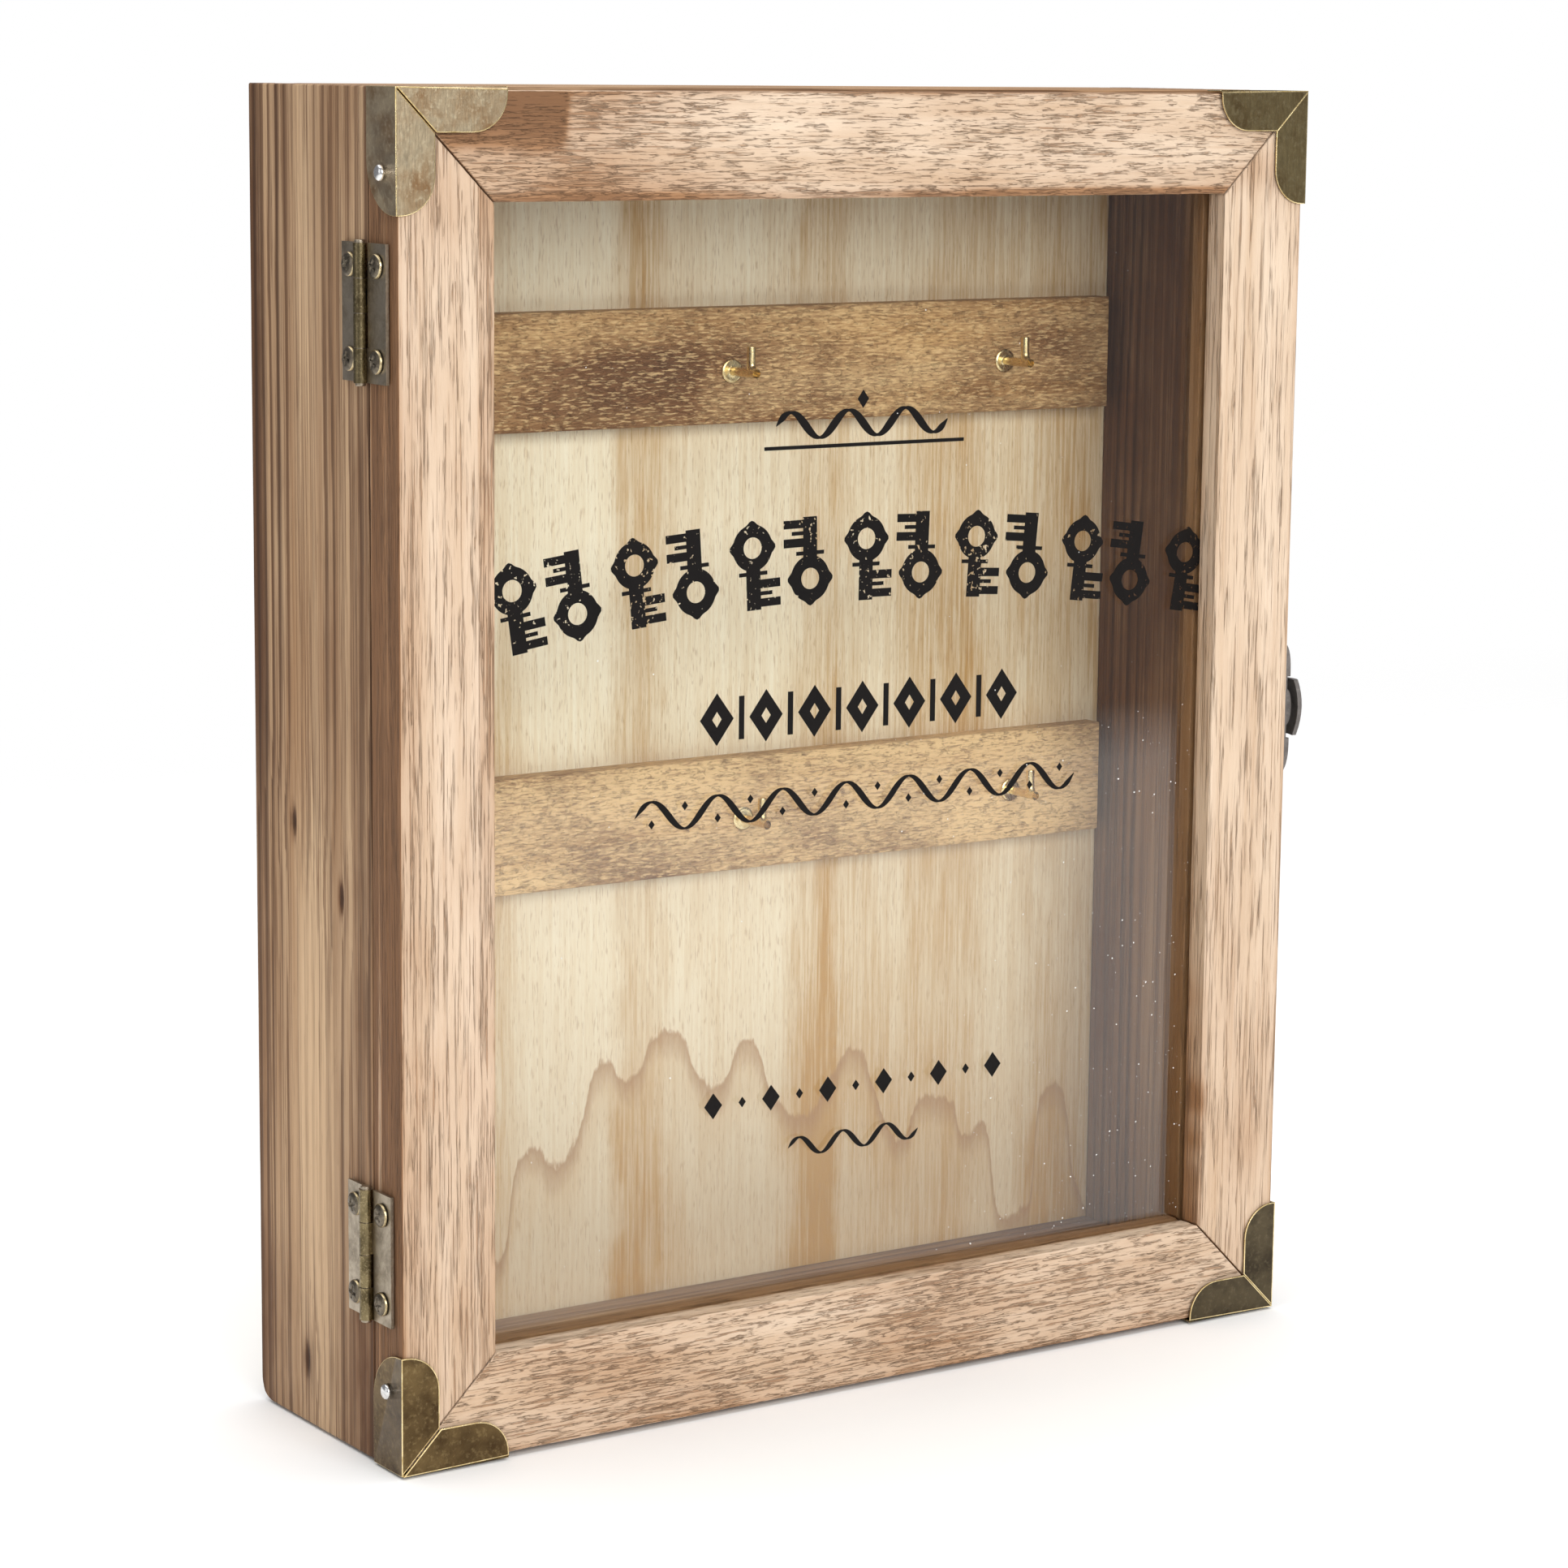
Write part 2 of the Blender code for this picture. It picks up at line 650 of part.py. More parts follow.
def hinge_leaf(name, middle_z, side, finish, parent):
    """One leaf: side +1 lies on the box, -1 on the door. Each carries every second knuckle."""
    inner_x = -HALF_WIDTH - GAP
    outer_x = inner_x - LEAF_THICKNESS
    near = BARREL_RADIUS + GAP
    step = HINGE_HEIGHT / KNUCKLES
    low_z = middle_z - HINGE_HEIGHT / 2
    ys = sorted((HINGE_Y + side * near, HINGE_Y + side * LEAF_WIDTH))
    plate = block((outer_x, ys[0], low_z), (inner_x, ys[1], low_z + HINGE_HEIGHT))
    obj = add(name, mesh_from(name, plate), finish, parent)
    ys = sorted((HINGE_Y, HINGE_Y + side * (near + LEAF_THICKNESS)))
    for number in range(KNUCKLES):
        if (number % 2 == 0) == (side > 0):
            continue
        bottom = low_z + number * step + GAP / 2
        top = bottom + step - GAP
        web = block((outer_x, ys[0], bottom), (inner_x, ys[1], top))
        knuckle = rod((HINGE_X, HINGE_Y, bottom), (HINGE_X, HINGE_Y, top), BARREL_RADIUS)
        fuse(obj, [web, knuckle])
    below = (HINGE_X, HINGE_Y, low_z - HINGE_HEIGHT)
    above = (HINGE_X, HINGE_Y, low_z + 2 * HINGE_HEIGHT)
    mark_hole(obj, rod(below, above, HINGE_PIN + PIN_PLAY))
    return obj


def hinge(which, middle_z, box_side, stile, finish, screw_finish, door):
    for side, owner, parent, wood in ((1, "box", None, box_side), (-1, "door", door, stile)):
        leaf = hinge_leaf(f"{which}_hinge_{owner}_leaf", middle_z, side, finish, parent)
        for level, level_name in ((-1, "lower"), (1, "upper")):
            out_x = -HALF_WIDTH - GAP - LEAF_THICKNESS - GAP
            place = (out_x, HINGE_Y + side * HINGE_SCREW_OUT, middle_z + level * HINGE_SCREW_UP)
            drill(place, OUT_LEFT, HINGE_SCREW, [leaf, wood])
            name = f"{which}_hinge_{owner}_{level_name}_screw"
            screw(name, HINGE_SCREW, screw_finish, parent, place, OUT_LEFT)
    length = HINGE_HEIGHT + 2 * (GAP + PIN_HEAD_THICKNESS) - GAP
    mesh = pin_mesh("hinge_pin", HINGE_PIN, HINGE_PIN_HEAD, length)
    add(f"{which}_hinge_pin", mesh, finish, place=(HINGE_X, HINGE_Y, middle_z))


# Latch


def latch_point(out, back, up):
    """Out from the right side, back from the door's front face, up from the latch's middle."""
    return (HALF_WIDTH + out, DOOR_FRONT_Y + back, LATCH_Z + up)


def latch_keeper(stile, finish, screw_finish, parent):
    """The cast keeper: a plate with tapered ends, a groove under the tongue and a domed catch."""
    half = KEEPER_LENGTH / 2
    low = GAP
    top = GAP + KEEPER_THICKNESS
    groove = GAP + KEEPER_GROOVE_THICKNESS
    groove_half = TONGUE_WIDTH / 2 + 2 * TONGUE_SIDE_PLAY
    taper = quarter((half - KEEPER_TAPER, low), (KEEPER_TAPER, KEEPER_THICKNESS), 0)
    outline = taper + [(groove_half, top), (groove_half, groove)]
    outline += [(-up, out) for up, out in reversed(outline)]
    front = KEEPER_SETBACK
    depth = DOOR_THICKNESS - KEEPER_BACK_MARGIN - front
    shape = extruded([latch_point(out, front, up) for up, out in outline], (0, depth, 0))
    obj = add("latch_keeper", mesh_from("latch_keeper", shape), finish, parent)
    catch_half = CATCH_LENGTH / 2
    crown = GAP + CATCH_HEIGHT
    floor = (low + groove) / 2
    sides = 2 * ARC_STEPS
    ups = [catch_half * (1 - 2 * step / sides) for step in range(sides + 1)]
    arch = [(up, groove + (crown - groove) * math.sqrt(max(0.0, 1 - (up / catch_half) ** 2))) for up in ups]
    catch = [(catch_half, floor)] + arch + [(-catch_half, floor)]
    catch_front = front + GAP
    fuse(obj, [extruded([latch_point(out, catch_front, up) for up, out in catch], (0, CATCH_DEPTH, 0))])
    for level, level_name in ((-1, "lower"), (1, "upper")):
        place = latch_point(top + GAP, front + depth / 2, level * LATCH_SCREW_SPREAD)
        drill(place, OUT_RIGHT, LATCH_SCREW, [obj, stile])
        screw(f"keeper_{level_name}_screw", LATCH_SCREW, screw_finish, parent, place, OUT_RIGHT)
    return obj


def latch_plate(box_side, finish, screw_finish):
    """The plate on the box, with two lugs that hold the tongue's pin."""
    front = LATCH_Y - DOOR_FRONT_Y - LATCH_KNUCKLE
    back = front + HASP_PLATE_WIDTH
    half = HASP_PLATE_LENGTH / 2
    nose = HASP_PLATE_WIDTH / 2
    rear = quarter((back - nose, half - nose), (nose, nose), 0)
    outline = [(front, -half), (front, half)] + list(reversed(rear)) + [(b, -up) for b, up in rear]
    points = [latch_point(GAP, b, up) for b, up in outline]
    obj = add("latch_plate", mesh_from("latch_plate", extruded(points, (HASP_PLATE_THICKNESS, 0, 0))), finish)
    pin_back = LATCH_Y - DOOR_FRONT_Y
    inner = TONGUE_WIDTH / 2 + TONGUE_SIDE_PLAY
    middle = GAP + HASP_PLATE_THICKNESS / 2
    for way in (-1, 1):
        near, far = way * inner, way * (inner + LUG_WIDTH)
        reach = 0.8 * LATCH_KNUCKLE
        corners = [(middle, pin_back - reach), (middle, pin_back + reach)]
        corners += [(LATCH_PIN_OUT, pin_back + reach), (LATCH_PIN_OUT, pin_back - reach)]
        web = extruded([latch_point(out, b, near) for out, b in corners], (0, 0, far - near))
        ends = [latch_point(LATCH_PIN_OUT, pin_back, up) for up in (near, far)]
        fuse(obj, [web, rod(*ends, LATCH_KNUCKLE)])
    reach = inner + 2 * LUG_WIDTH
    low, high = (latch_point(LATCH_PIN_OUT, pin_back, way * reach) for way in (-1, 1))
    mark_hole(obj, rod(low, high, LATCH_PIN + PIN_PLAY))
    screw_out = 2 * GAP + HASP_PLATE_THICKNESS
    for level, level_name in ((-1, "lower"), (1, "upper")):
        place = latch_point(screw_out, front + HASP_SCREW_BACK, level * HASP_SCREW_SPREAD)
        drill(place, OUT_RIGHT, LATCH_SCREW, [obj, box_side])
        screw(f"latch_plate_{level_name}_screw", LATCH_SCREW, screw_finish, None, place, OUT_RIGHT)
    length = 2 * (inner + LUG_WIDTH + GAP + PIN_HEAD_THICKNESS)
    mesh = pin_mesh("latch_pin", LATCH_PIN, LATCH_PIN_HEAD, length)
    add("latch_pin", mesh, finish, place=(LATCH_X, LATCH_Y, LATCH_Z))
    return obj


def latch_tongue(finish, parent):
    """The arched tongue that swings over the keeper; its rolled nose drops in front of the catch."""
    pin_back = LATCH_Y - DOOR_FRONT_Y
    knuckle_top = LATCH_PIN_OUT + LATCH_KNUCKLE
    nose = KEEPER_SETBACK - TONGUE_THICKNESS - TONGUE_OVERHANG
    reach = pin_back - nose
    half = TONGUE_WIDTH / 2
    across = [half * (2 * step / ARC_STEPS - 1) for step in range(ARC_STEPS + 1)]
    shape = bmesh.new()
    loops = []
    for share, rise, thickness in TONGUE_STATIONS:
        back = pin_back - share * reach
        crown = knuckle_top + rise
        arch = TONGUE_ARCH * min(1.0, share / TONGUE_ARCHED_FROM)
        outer = [(crown - arch * (up / half) ** 2, up) for up in across]
        inner = [(out - thickness, up) for out, up in reversed(outer)]
        loops.append([shape.verts.new(latch_point(out, back, up)) for out, up in outer + inner])
    join_rings(shape, loops)
    shape.faces.new(loops[0])
    shape.faces.new(loops[-1])
    obj = add("latch_tongue", mesh_from("latch_tongue", shape), finish, parent)
    low, high = (latch_point(LATCH_PIN_OUT, pin_back, way * half) for way in (-1, 1))
    fuse(obj, [rod(low, high, LATCH_KNUCKLE)])
    low, high = (latch_point(LATCH_PIN_OUT, pin_back, way * 2 * half) for way in (-1, 1))
    mark_hole(obj, rod(low, high, LATCH_PIN + PIN_PLAY))
    return obj


# The whole cabinet


def build():
    clear_scene()
    pine = material("pine_board", (0.42, 0.27, 0.16), 0.65)
    frame_wood = material("washed_frame_wood", (0.72, 0.52, 0.38), 0.7)
    ply = material("back_plywood", (0.74, 0.61, 0.42), 0.6)
    rail_wood = material("key_rail_wood", (0.48, 0.29, 0.14), 0.6)
    bead_wood = material("glazing_bead_wood", (0.55, 0.4, 0.26), 0.65)
    clear = material("clear_glass", (0.95, 0.97, 0.96), 0.03, transmission=1.0)
    antique = material("antique_brass", (0.25, 0.19, 0.08), 0.38, 1.0)
    bronze = material("hinge_bronze", (0.17, 0.14, 0.09), 0.4, 1.0)
    dark = material("dark_bronze", (0.06, 0.05, 0.045), 0.42, 1.0)
    gold = material("hook_brass", (0.78, 0.6, 0.28), 0.28, 1.0)
    steel = material("bright_steel", (0.72, 0.72, 0.7), 0.25, 1.0)

    door = pivot("door_pivot", (HINGE_X, HINGE_Y, 0))
    tongue = pivot("latch_tongue_pivot", (LATCH_X, LATCH_Y, LATCH_Z))

    left_side = side_board("left_side_panel", -1, pine)
    right_side = side_board("right_side_panel", 1, pine)
    bottom = end_board("bottom_panel", 0, pine)
    top = end_board("top_panel", HEIGHT - WALL, pine)
    for board in (left_side, right_side, bottom, top):
        cut(board, [back_rebate()])
    back = back_board(ply)

    rows = (("upper", UPPER_RAIL_Z, UPPER_HOOK_SHIFT), ("lower", LOWER_RAIL_Z, LOWER_HOOK_SHIFT))
    for row, z, shift in rows:
        xs = [shift + step * HOOK_PITCH for step in (-1, 0, 1)]
        key_rail(f"{row}_key_rail", z, xs, rail_wood)
        hooks(row, z, xs, gold)

    nail = nail_mesh("hanger_nail", HANGER_NAIL)
    nail_z = HEIGHT - WALL + HANGER_NAIL_LIFT
    nail_y = BACK_FRONT_Y + BACK_THICKNESS + GAP + HANGER_SHEET + GAP / 2
    for side, name in ((-1, "left"), (1, "right")):
        middle = side * HANGER_SPREAD
        reach = HANGER_LENGTH / 2 - HANGER_NAIL_INSET
        places = [(middle - reach, nail_z), (middle + reach, nail_z)]
        strip = hanger(f"{name}_wall_hanger", middle, steel)
        for (x, z), end in zip(places, ("left", "right")):
            place = (x, nail_y, z)
            drill(place, OUT_BACK, HANGER_NAIL, [strip, back, top])
            add(f"{name}_hanger_{end}_nail", nail, steel, place=place, turn=OUT_BACK)

    members = door_frame(frame_wood, bead_wood, door)
    glass(clear, door)
    door_corners(members, antique, steel, door)
    for name, z in zip(("lower", "upper"), HINGE_HEIGHTS):
        hinge(name, z, left_side, members["left"], bronze, bronze, door)

    latch_keeper(members["right"], dark, dark, door)
    latch_plate(right_side, dark, dark)
    latch_tongue(dark, tongue)
    cut_holes()


build()
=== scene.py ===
import math

import bmesh
import bpy
from mathutils import Matrix, Vector, noise


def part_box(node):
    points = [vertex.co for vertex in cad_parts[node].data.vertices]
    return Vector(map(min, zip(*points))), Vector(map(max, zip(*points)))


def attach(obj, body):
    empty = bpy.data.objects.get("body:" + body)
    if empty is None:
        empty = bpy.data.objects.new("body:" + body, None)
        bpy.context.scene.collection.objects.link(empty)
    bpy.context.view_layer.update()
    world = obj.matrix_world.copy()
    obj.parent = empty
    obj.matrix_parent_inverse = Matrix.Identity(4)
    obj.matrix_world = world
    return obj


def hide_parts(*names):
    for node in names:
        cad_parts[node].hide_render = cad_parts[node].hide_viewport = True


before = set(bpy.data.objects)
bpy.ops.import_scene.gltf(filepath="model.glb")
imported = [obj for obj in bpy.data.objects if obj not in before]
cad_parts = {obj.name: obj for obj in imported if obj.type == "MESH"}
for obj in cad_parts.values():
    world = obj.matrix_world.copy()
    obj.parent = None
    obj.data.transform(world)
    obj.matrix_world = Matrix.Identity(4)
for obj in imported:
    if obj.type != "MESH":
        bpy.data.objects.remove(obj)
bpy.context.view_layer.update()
MM = 0.001


# Camera: a long lens, a little above the cabinet and well round to its left, so that the front,
# the left side and the inside through the glass all show.
bpy.ops.object.camera_add(location=(-0.5300, -0.7846, 0.2921))
camera = bpy.context.object
aim = Matrix.Rotation(math.radians(-33.944), 4, "Z") @ Matrix.Rotation(math.radians(80.349), 4, "X")
camera.rotation_euler = (aim @ Matrix.Rotation(math.radians(0.592), 4, "Z")).to_euler()
camera.data.sensor_width = 36.0
camera.data.lens = 98.604
bpy.context.scene.camera = camera


# Studio: a plain pale table top that ends a little in front of the cabinet, and big soft lamps. Only
# the lower half of the glass mirrors the table, so a faint haze lies over that half.
TABLE_FRONT = -0.80
TABLE_BACK = 4.0
TABLE_HALF_WIDTH = 4.0
TABLE_TOP = -0.6 * MM  # just below the cabinet, so that the two never share a plane


def clear_bench():
    """Leaves object mode with nothing selected."""
    if bpy.context.object and bpy.context.object.mode != "OBJECT":
        bpy.ops.object.mode_set(mode="OBJECT")
    bpy.ops.object.select_all(action="DESELECT")


def take(piece):
    clear_bench()
    piece.select_set(True)
    bpy.context.view_layer.objects.active = piece


def settle(piece):
    """Puts a piece's place into its mesh."""
    take(piece)
    bpy.ops.object.transform_apply(location=True, rotation=True, scale=True)


def add_node(tree, kind, inputs=(), **settings):
    """A shader node with its settings, and a value or a link on each named socket."""
    made = tree.nodes.new(kind)
    for key, value in settings.items():
        setattr(made, key, value)
    for socket, value in dict(inputs).items():
        if isinstance(value, bpy.types.NodeSocket):
            tree.links.new(value, made.inputs[socket])
        else:
            made.inputs[socket].default_value = value
    return made


def mix_colours(tree, share, first, second):
    mixed = add_node(tree, "ShaderNodeMix", {0: share}, data_type="RGBA", clamp_factor=True)
    for socket, value in ((6, first), (7, second)):
        if isinstance(value, bpy.types.NodeSocket):
            tree.links.new(value, mixed.inputs[socket])
        else:
            mixed.inputs[socket].default_value = (*value, 1.0)
    return mixed.outputs[2]


def sums(tree, operation, first, second=0.0):
    return add_node(tree, "ShaderNodeMath", {0: first, 1: second}, operation=operation).outputs[0]


def spread(tree, value, low, high, to_low=0.0, to_high=1.0):
    """Stretches a value between two limits, and stops it there."""
    made = add_node(tree, "ShaderNodeMapRange", {0: value, 1: low, 2: high, 3: to_low, 4: to_high})
    return made.outputs[0]


def grain_noise(tree, scale, detail=3.0, rough=0.5, warp=0.0, shift=(0, 0, 0)):
    """Noise in the piece's own place, at this many waves a metre in x, y and z."""
    place = add_node(tree, "ShaderNodeTexCoord").outputs["Object"]
    laid = add_node(tree, "ShaderNodeMapping", {"Vector": place, "Scale": scale, "Location": shift})
    sockets = {"Vector": laid.outputs[0], "Scale": 1.0, "Detail": detail, "Roughness": rough,
               "Distortion": warp}
    return add_node(tree, "ShaderNodeTexNoise", sockets).outputs["Fac"]


def new_finish(name):
    """A new material with its node tree and its shader."""
    finish = bpy.data.materials.new(name)
    finish.use_nodes = True
    tree = finish.node_tree
    return finish, tree, tree.nodes["Principled BSDF"]


def feed(tree, shader, **sockets):
    """Sets or links the shader's sockets; a double underscore in a name stands for a space."""
    for name, value in sockets.items():
        socket = shader.inputs[name.replace("__", " ")]
        if isinstance(value, bpy.types.NodeSocket):
            tree.links.new(value, socket)
        else:
            socket.default_value = value


def roughen(tree, shader, height, depth):
    """Raises and sinks the surface by a pattern of this depth."""
    bump = add_node(tree, "ShaderNodeBump", {"Strength": 1.0, "Distance": depth, "Height": height})
    tree.links.new(bump.outputs[0], shader.inputs["Normal"])


def table_paint():
    """Matt white, which fades into the white backdrop a little way behind the cabinet."""
    finish, tree, shader = new_finish("matt table")
    cloud = grain_noise(tree, (3, 3, 3))
    feed(tree, shader, Base__Color=mix_colours(tree, cloud, (0.90, 0.90, 0.90), (0.93, 0.93, 0.93)))
    feed(tree, shader, Roughness=0.85)
    place = add_node(tree, "ShaderNodeTexCoord").outputs["Object"]
    x, y, _ = add_node(tree, "ShaderNodeSeparateXYZ", {0: place}).outputs
    behind = spread(tree, y, 0.25, 0.8, 1.0, 0.0)
    beside = spread(tree, sums(tree, "ABSOLUTE", x), 0.9, 1.6, 1.0, 0.0)
    before = spread(tree, y, TABLE_FRONT, TABLE_FRONT + 0.13)
    feed(tree, shader, Alpha=sums(tree, "MULTIPLY", sums(tree, "MULTIPLY", behind, beside), before))
    return finish


def studio_air():
    """A white backdrop for the eye, and a dimmer room for everything that it lights or mirrors."""
    world = bpy.data.worlds.new("studio air")
    bpy.context.scene.world = world
    world.use_nodes = True
    tree = world.node_tree
    path = add_node(tree, "ShaderNodeLightPath")
    room = mix_colours(tree, path.outputs["Is Diffuse Ray"], (0.22, 0.22, 0.23), (0.46, 0.455, 0.45))
    shade = mix_colours(tree, path.outputs["Is Camera Ray"], room, (1.0, 1.0, 1.0))
    tree.links.new(shade, tree.nodes["Background"].inputs["Color"])


def lamp(name, place, target, width, height, power, tint=(1.0, 1.0, 1.0)):
    clear_bench()
    bpy.ops.object.light_add(type="AREA", location=place)
    made = bpy.context.object
    made.name = name
    made.rotation_euler = (Vector(target) - Vector(place)).to_track_quat("-Z", "Y").to_euler()
    made.data.shape = "RECTANGLE"
    made.data.size = width
    made.data.size_y = height
    made.data.energy = power
    made.data.color = tint


clear_bench()
bpy.ops.mesh.primitive_plane_add(size=1, location=(0, (TABLE_FRONT + TABLE_BACK) / 2, TABLE_TOP))
table = bpy.context.object
table.name = "table_top"
table.scale = (2 * TABLE_HALF_WIDTH, TABLE_BACK - TABLE_FRONT, 1)
settle(table)
table.data.materials.append(table_paint())
studio_air()
lamp("key lamp", (-0.25, -1.75, 0.85), (0, 0, 0.15), 1.5, 1.0, 26.0, (1.0, 0.99, 0.97))
lamp("overhead lamp", (0.1, 0.25, 1.6), (0, 0.15, 0), 2.4, 2.0, 30.0)
lamp("left lamp", (-1.7, -0.1, 0.7), (0, 0, 0.15), 0.9, 1.1, 3.6)
bpy.context.scene.view_settings.view_transform = "Standard"


# Box boards: two sides, a top and a bottom of soft pine, sawn, rebated behind for the back board,
# nailed and glued, then scorched and brushed so that the growth rings stand out dark.
ROOM = 0.3 * MM  # between neighbouring pieces
SANDED = 0.35 * MM  # eased edges
HEEL = 5.0 * MM  # rounded lower rear corner of each side
RING = 3.5 * MM  # one year's growth
GROOVE = 0.10 * MM  # how deep the brush has cut between the rings
KNOTS = ((15.0 * MM, 131.0 * MM), (-6.0 * MM, 118.0 * MM), (11.0 * MM, 14.0 * MM))  # on the left side
MID_HEIGHT = 140.0 * MM  # tells upper pieces from lower ones
MOST_CUTS = 100  # in one go


def block(name, low, high):
    """A block between two corners, with its place in its mesh."""
    clear_bench()
    bpy.ops.mesh.primitive_cube_add(size=1, location=(Vector(low) + Vector(high)) / 2)
    piece = bpy.context.object
    piece.name = name
    piece.scale = Vector(high) - Vector(low)
    settle(piece)
    return piece


def open_up(piece, kind="FACE"):
    """Edit mode with nothing selected, and the mesh to pick from."""
    take(piece)
    bpy.ops.object.mode_set(mode="EDIT")
    bpy.ops.mesh.select_mode(type=kind)
    bpy.ops.mesh.select_all(action="DESELECT")
    return bmesh.from_edit_mesh(piece.data)


def close_up():
    bpy.ops.object.mode_set(mode="OBJECT")


def pick_faces(piece, wanted):
    shape = open_up(piece)
    for face in shape.faces:
        face.select_set(wanted(face.calc_center_median(), face.normal))
    bmesh.update_edit_mesh(piece.data)


def pick_edges(piece, wanted):
    shape = open_up(piece, "EDGE")
    for edge in shape.edges:
        edge.select_set(wanted(edge.verts[0].co, edge.verts[1].co))
    bmesh.update_edit_mesh(piece.data)


def saw_rows(piece, axis, count, low=-1.0, high=1.0):
    """Divides every edge that runs along an axis, between two places on it, into count parts."""
    for parts in ([count] if count <= MOST_CUTS else [count // 3, 3]):

        def runs_along(a, b):
            run = b - a
            inside = min(a[axis], b[axis]) > low - 0.01 * MM and max(a[axis], b[axis]) < high + 0.01 * MM
            return inside and abs(run[axis]) > 0.999 * run.length

        pick_edges(piece, runs_along)
        bpy.ops.mesh.subdivide(number_cuts=parts - 1)
        close_up()


def push(value):
    bpy.ops.mesh.extrude_region_move(TRANSFORM_OT_translate={"value": value})


def raise_rim(piece, axis, way, rim, rise):
    """Carries the rear face on, on one side of a rim only, which leaves a rebate on the other side."""
    place = Vector((0, 0, 0))
    place[axis] = rim
    normal = Vector((0, 0, 0))
    normal[axis] = 1.0
    open_up(piece)
    bpy.ops.mesh.select_all(action="SELECT")
    bpy.ops.mesh.bisect(plane_co=place, plane_no=normal)
    close_up()
    pick_faces(piece, lambda middle, out: out.y > 0.9 and (middle[axis] - rim) * way > 0)
    push((0, rise, 0))
    close_up()


def use_modifiers(piece):
    take(piece)
    for modifier in list(piece.modifiers):
        bpy.ops.object.modifier_apply(modifier=modifier.name)


def ease_edges(piece, width, segments=2, angle=40, finish_slot=-1):
    bevel = piece.modifiers.new("eased", "BEVEL")
    bevel.width = width
    bevel.segments = segments
    bevel.limit_method = "ANGLE"
    bevel.angle_limit = math.radians(angle)
    bevel.material = finish_slot
    use_modifiers(piece)


def smooth_over(piece, degrees=35):
    """Smooth shading over soft edges only, with the broad faces kept flat."""
    take(piece)
    bpy.ops.object.shade_smooth_by_angle(angle=math.radians(degrees))
    flat = piece.modifiers.new("broad faces", "WEIGHTED_NORMAL")
    flat.weight = 80
    flat.keep_sharp = True
    use_modifiers(piece)


def hand_over(piece, finish, slot, body, *nodes):
    """Gives a finished piece its finish, its body and the nodes it stands for."""
    if not piece.data.materials:
        piece.data.materials.append(finish)
    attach(piece, body)
    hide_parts(*nodes)


def step_up(value, low, high):
    share = min(1.0, max(0.0, (value - low) / (high - low)))
    return share * share * (3 - 2 * share)


def bell(distance, width):
    return math.exp(-((distance / width) ** 2))


def waves(*place):
    return noise.noise(Vector(place))


def work_surface(piece, tone_at):
    """Sinks each point of a board by its grain, and keeps burn, line and paleness as the tone."""
    mesh = piece.data
    mesh.update()
    tone = mesh.attributes.new("tone", "FLOAT_COLOR", "POINT")
    normals = [vertex.normal.copy() for vertex in mesh.vertices]
    for vertex, normal in zip(mesh.vertices, normals):
        burn, line, pale, sink = tone_at(vertex.co, normal)
        tone.data[vertex.index].color = (burn, line, pale, 1.0)
        vertex.co -= sink * normal


def ring_lines(across, along, seed, spacing=RING):
    """Dark late wood at the end of each year's growth: soft on one side and crisp on the other."""
    drift = 0.8 * waves(along * 5, seed, 1.5) + 0.22 * waves(along * 19, across * 90, seed)
    year = across / spacing + 0.55 * waves(across * 70, seed, along * 1.5) + drift
    share = year - math.floor(year)
    strength = 0.62 + 0.5 * waves(math.floor(year) * 3.7, seed, along * 4)
    edge = step_up(share, 0.35, 0.93) * (1 - step_up(share, 0.95, 1.0))
    return max(0.0, min(1.0, strength * edge))


def side_tone(side):
    def tone_at(place, normal):
        _, y, z = place
        outside = normal.x * side > 0.5
        inside = normal.x * side < -0.5
        shift = 0.0
        knot = 0.0
        if outside and side < 0:
            for knot_y, knot_z in KNOTS:
                near = bell(z - knot_z, 11 * MM)
                shift += 2.6 * MM * near * math.tanh((y - knot_y) / (3.0 * MM)) * bell(y - knot_y, 9 * MM)
                knot += bell(y - knot_y, 1.0 * MM) * bell(z - knot_z, 3.2 * MM)
        seed = 3.1 if side < 0 else 8.4
        line = ring_lines(y - shift, z, seed)
        fine = ring_lines(y - shift, z, seed + 20, 1.1 * MM)
        fibre = waves(y * 1700, z * 60, seed)
        broad = waves(y * 45, z * 5, seed + 2)
        lower = 1 - step_up(z, 0.10, 0.17)
        cream = lower * bell(y - 4 * MM, 11 * MM)
        pale = 0.35 + 0.9 * broad + 0.9 * cream + 0.5 * bell(y - 20 * MM, 2.2 * MM)
        burn = 0.27 + 0.35 * (1 - step_up(z, 0.01, 0.05)) + 0.7 * waves(y * 75, z * 4, seed + 5)
        burn += 1.1 * max(0.0, waves(y * 230, z * 3, seed + 11))
        burn += 0.45 * step_up(y, 27 * MM, 31 * MM) * (0.7 + 0.5 * waves(z * 14, 2, seed))
        front_edge = step_up(-y, 10 * MM, 15 * MM) * (1 - step_up(z, 0.20, 0.25))
        burn += 0.75 * front_edge * (0.75 + 0.5 * waves(z * 9, 5, seed))
        if inside:
            burn = 0.95 + 0.25 * broad
            pale = 0.1
        if abs(normal.x) < 0.5:
            burn += 0.25
        crowd = 0.45 + 0.9 * step_up(waves(y * 95, z * 1.5, seed + 31), -0.25, 0.3)
        line = 1.15 * crowd * line * (1 - 0.35 * lower) + 0.3 * fine * (1 - 0.5 * lower)
        burn *= 1 - 0.6 * cream
        sink = GROOVE * (0.8 * line + 0.25 * fibre + 0.25) + 0.5 * MM * knot
        return burn + 1.2 * knot, min(1.0, line + knot), max(0.0, pale), max(0.0, sink)

    return tone_at


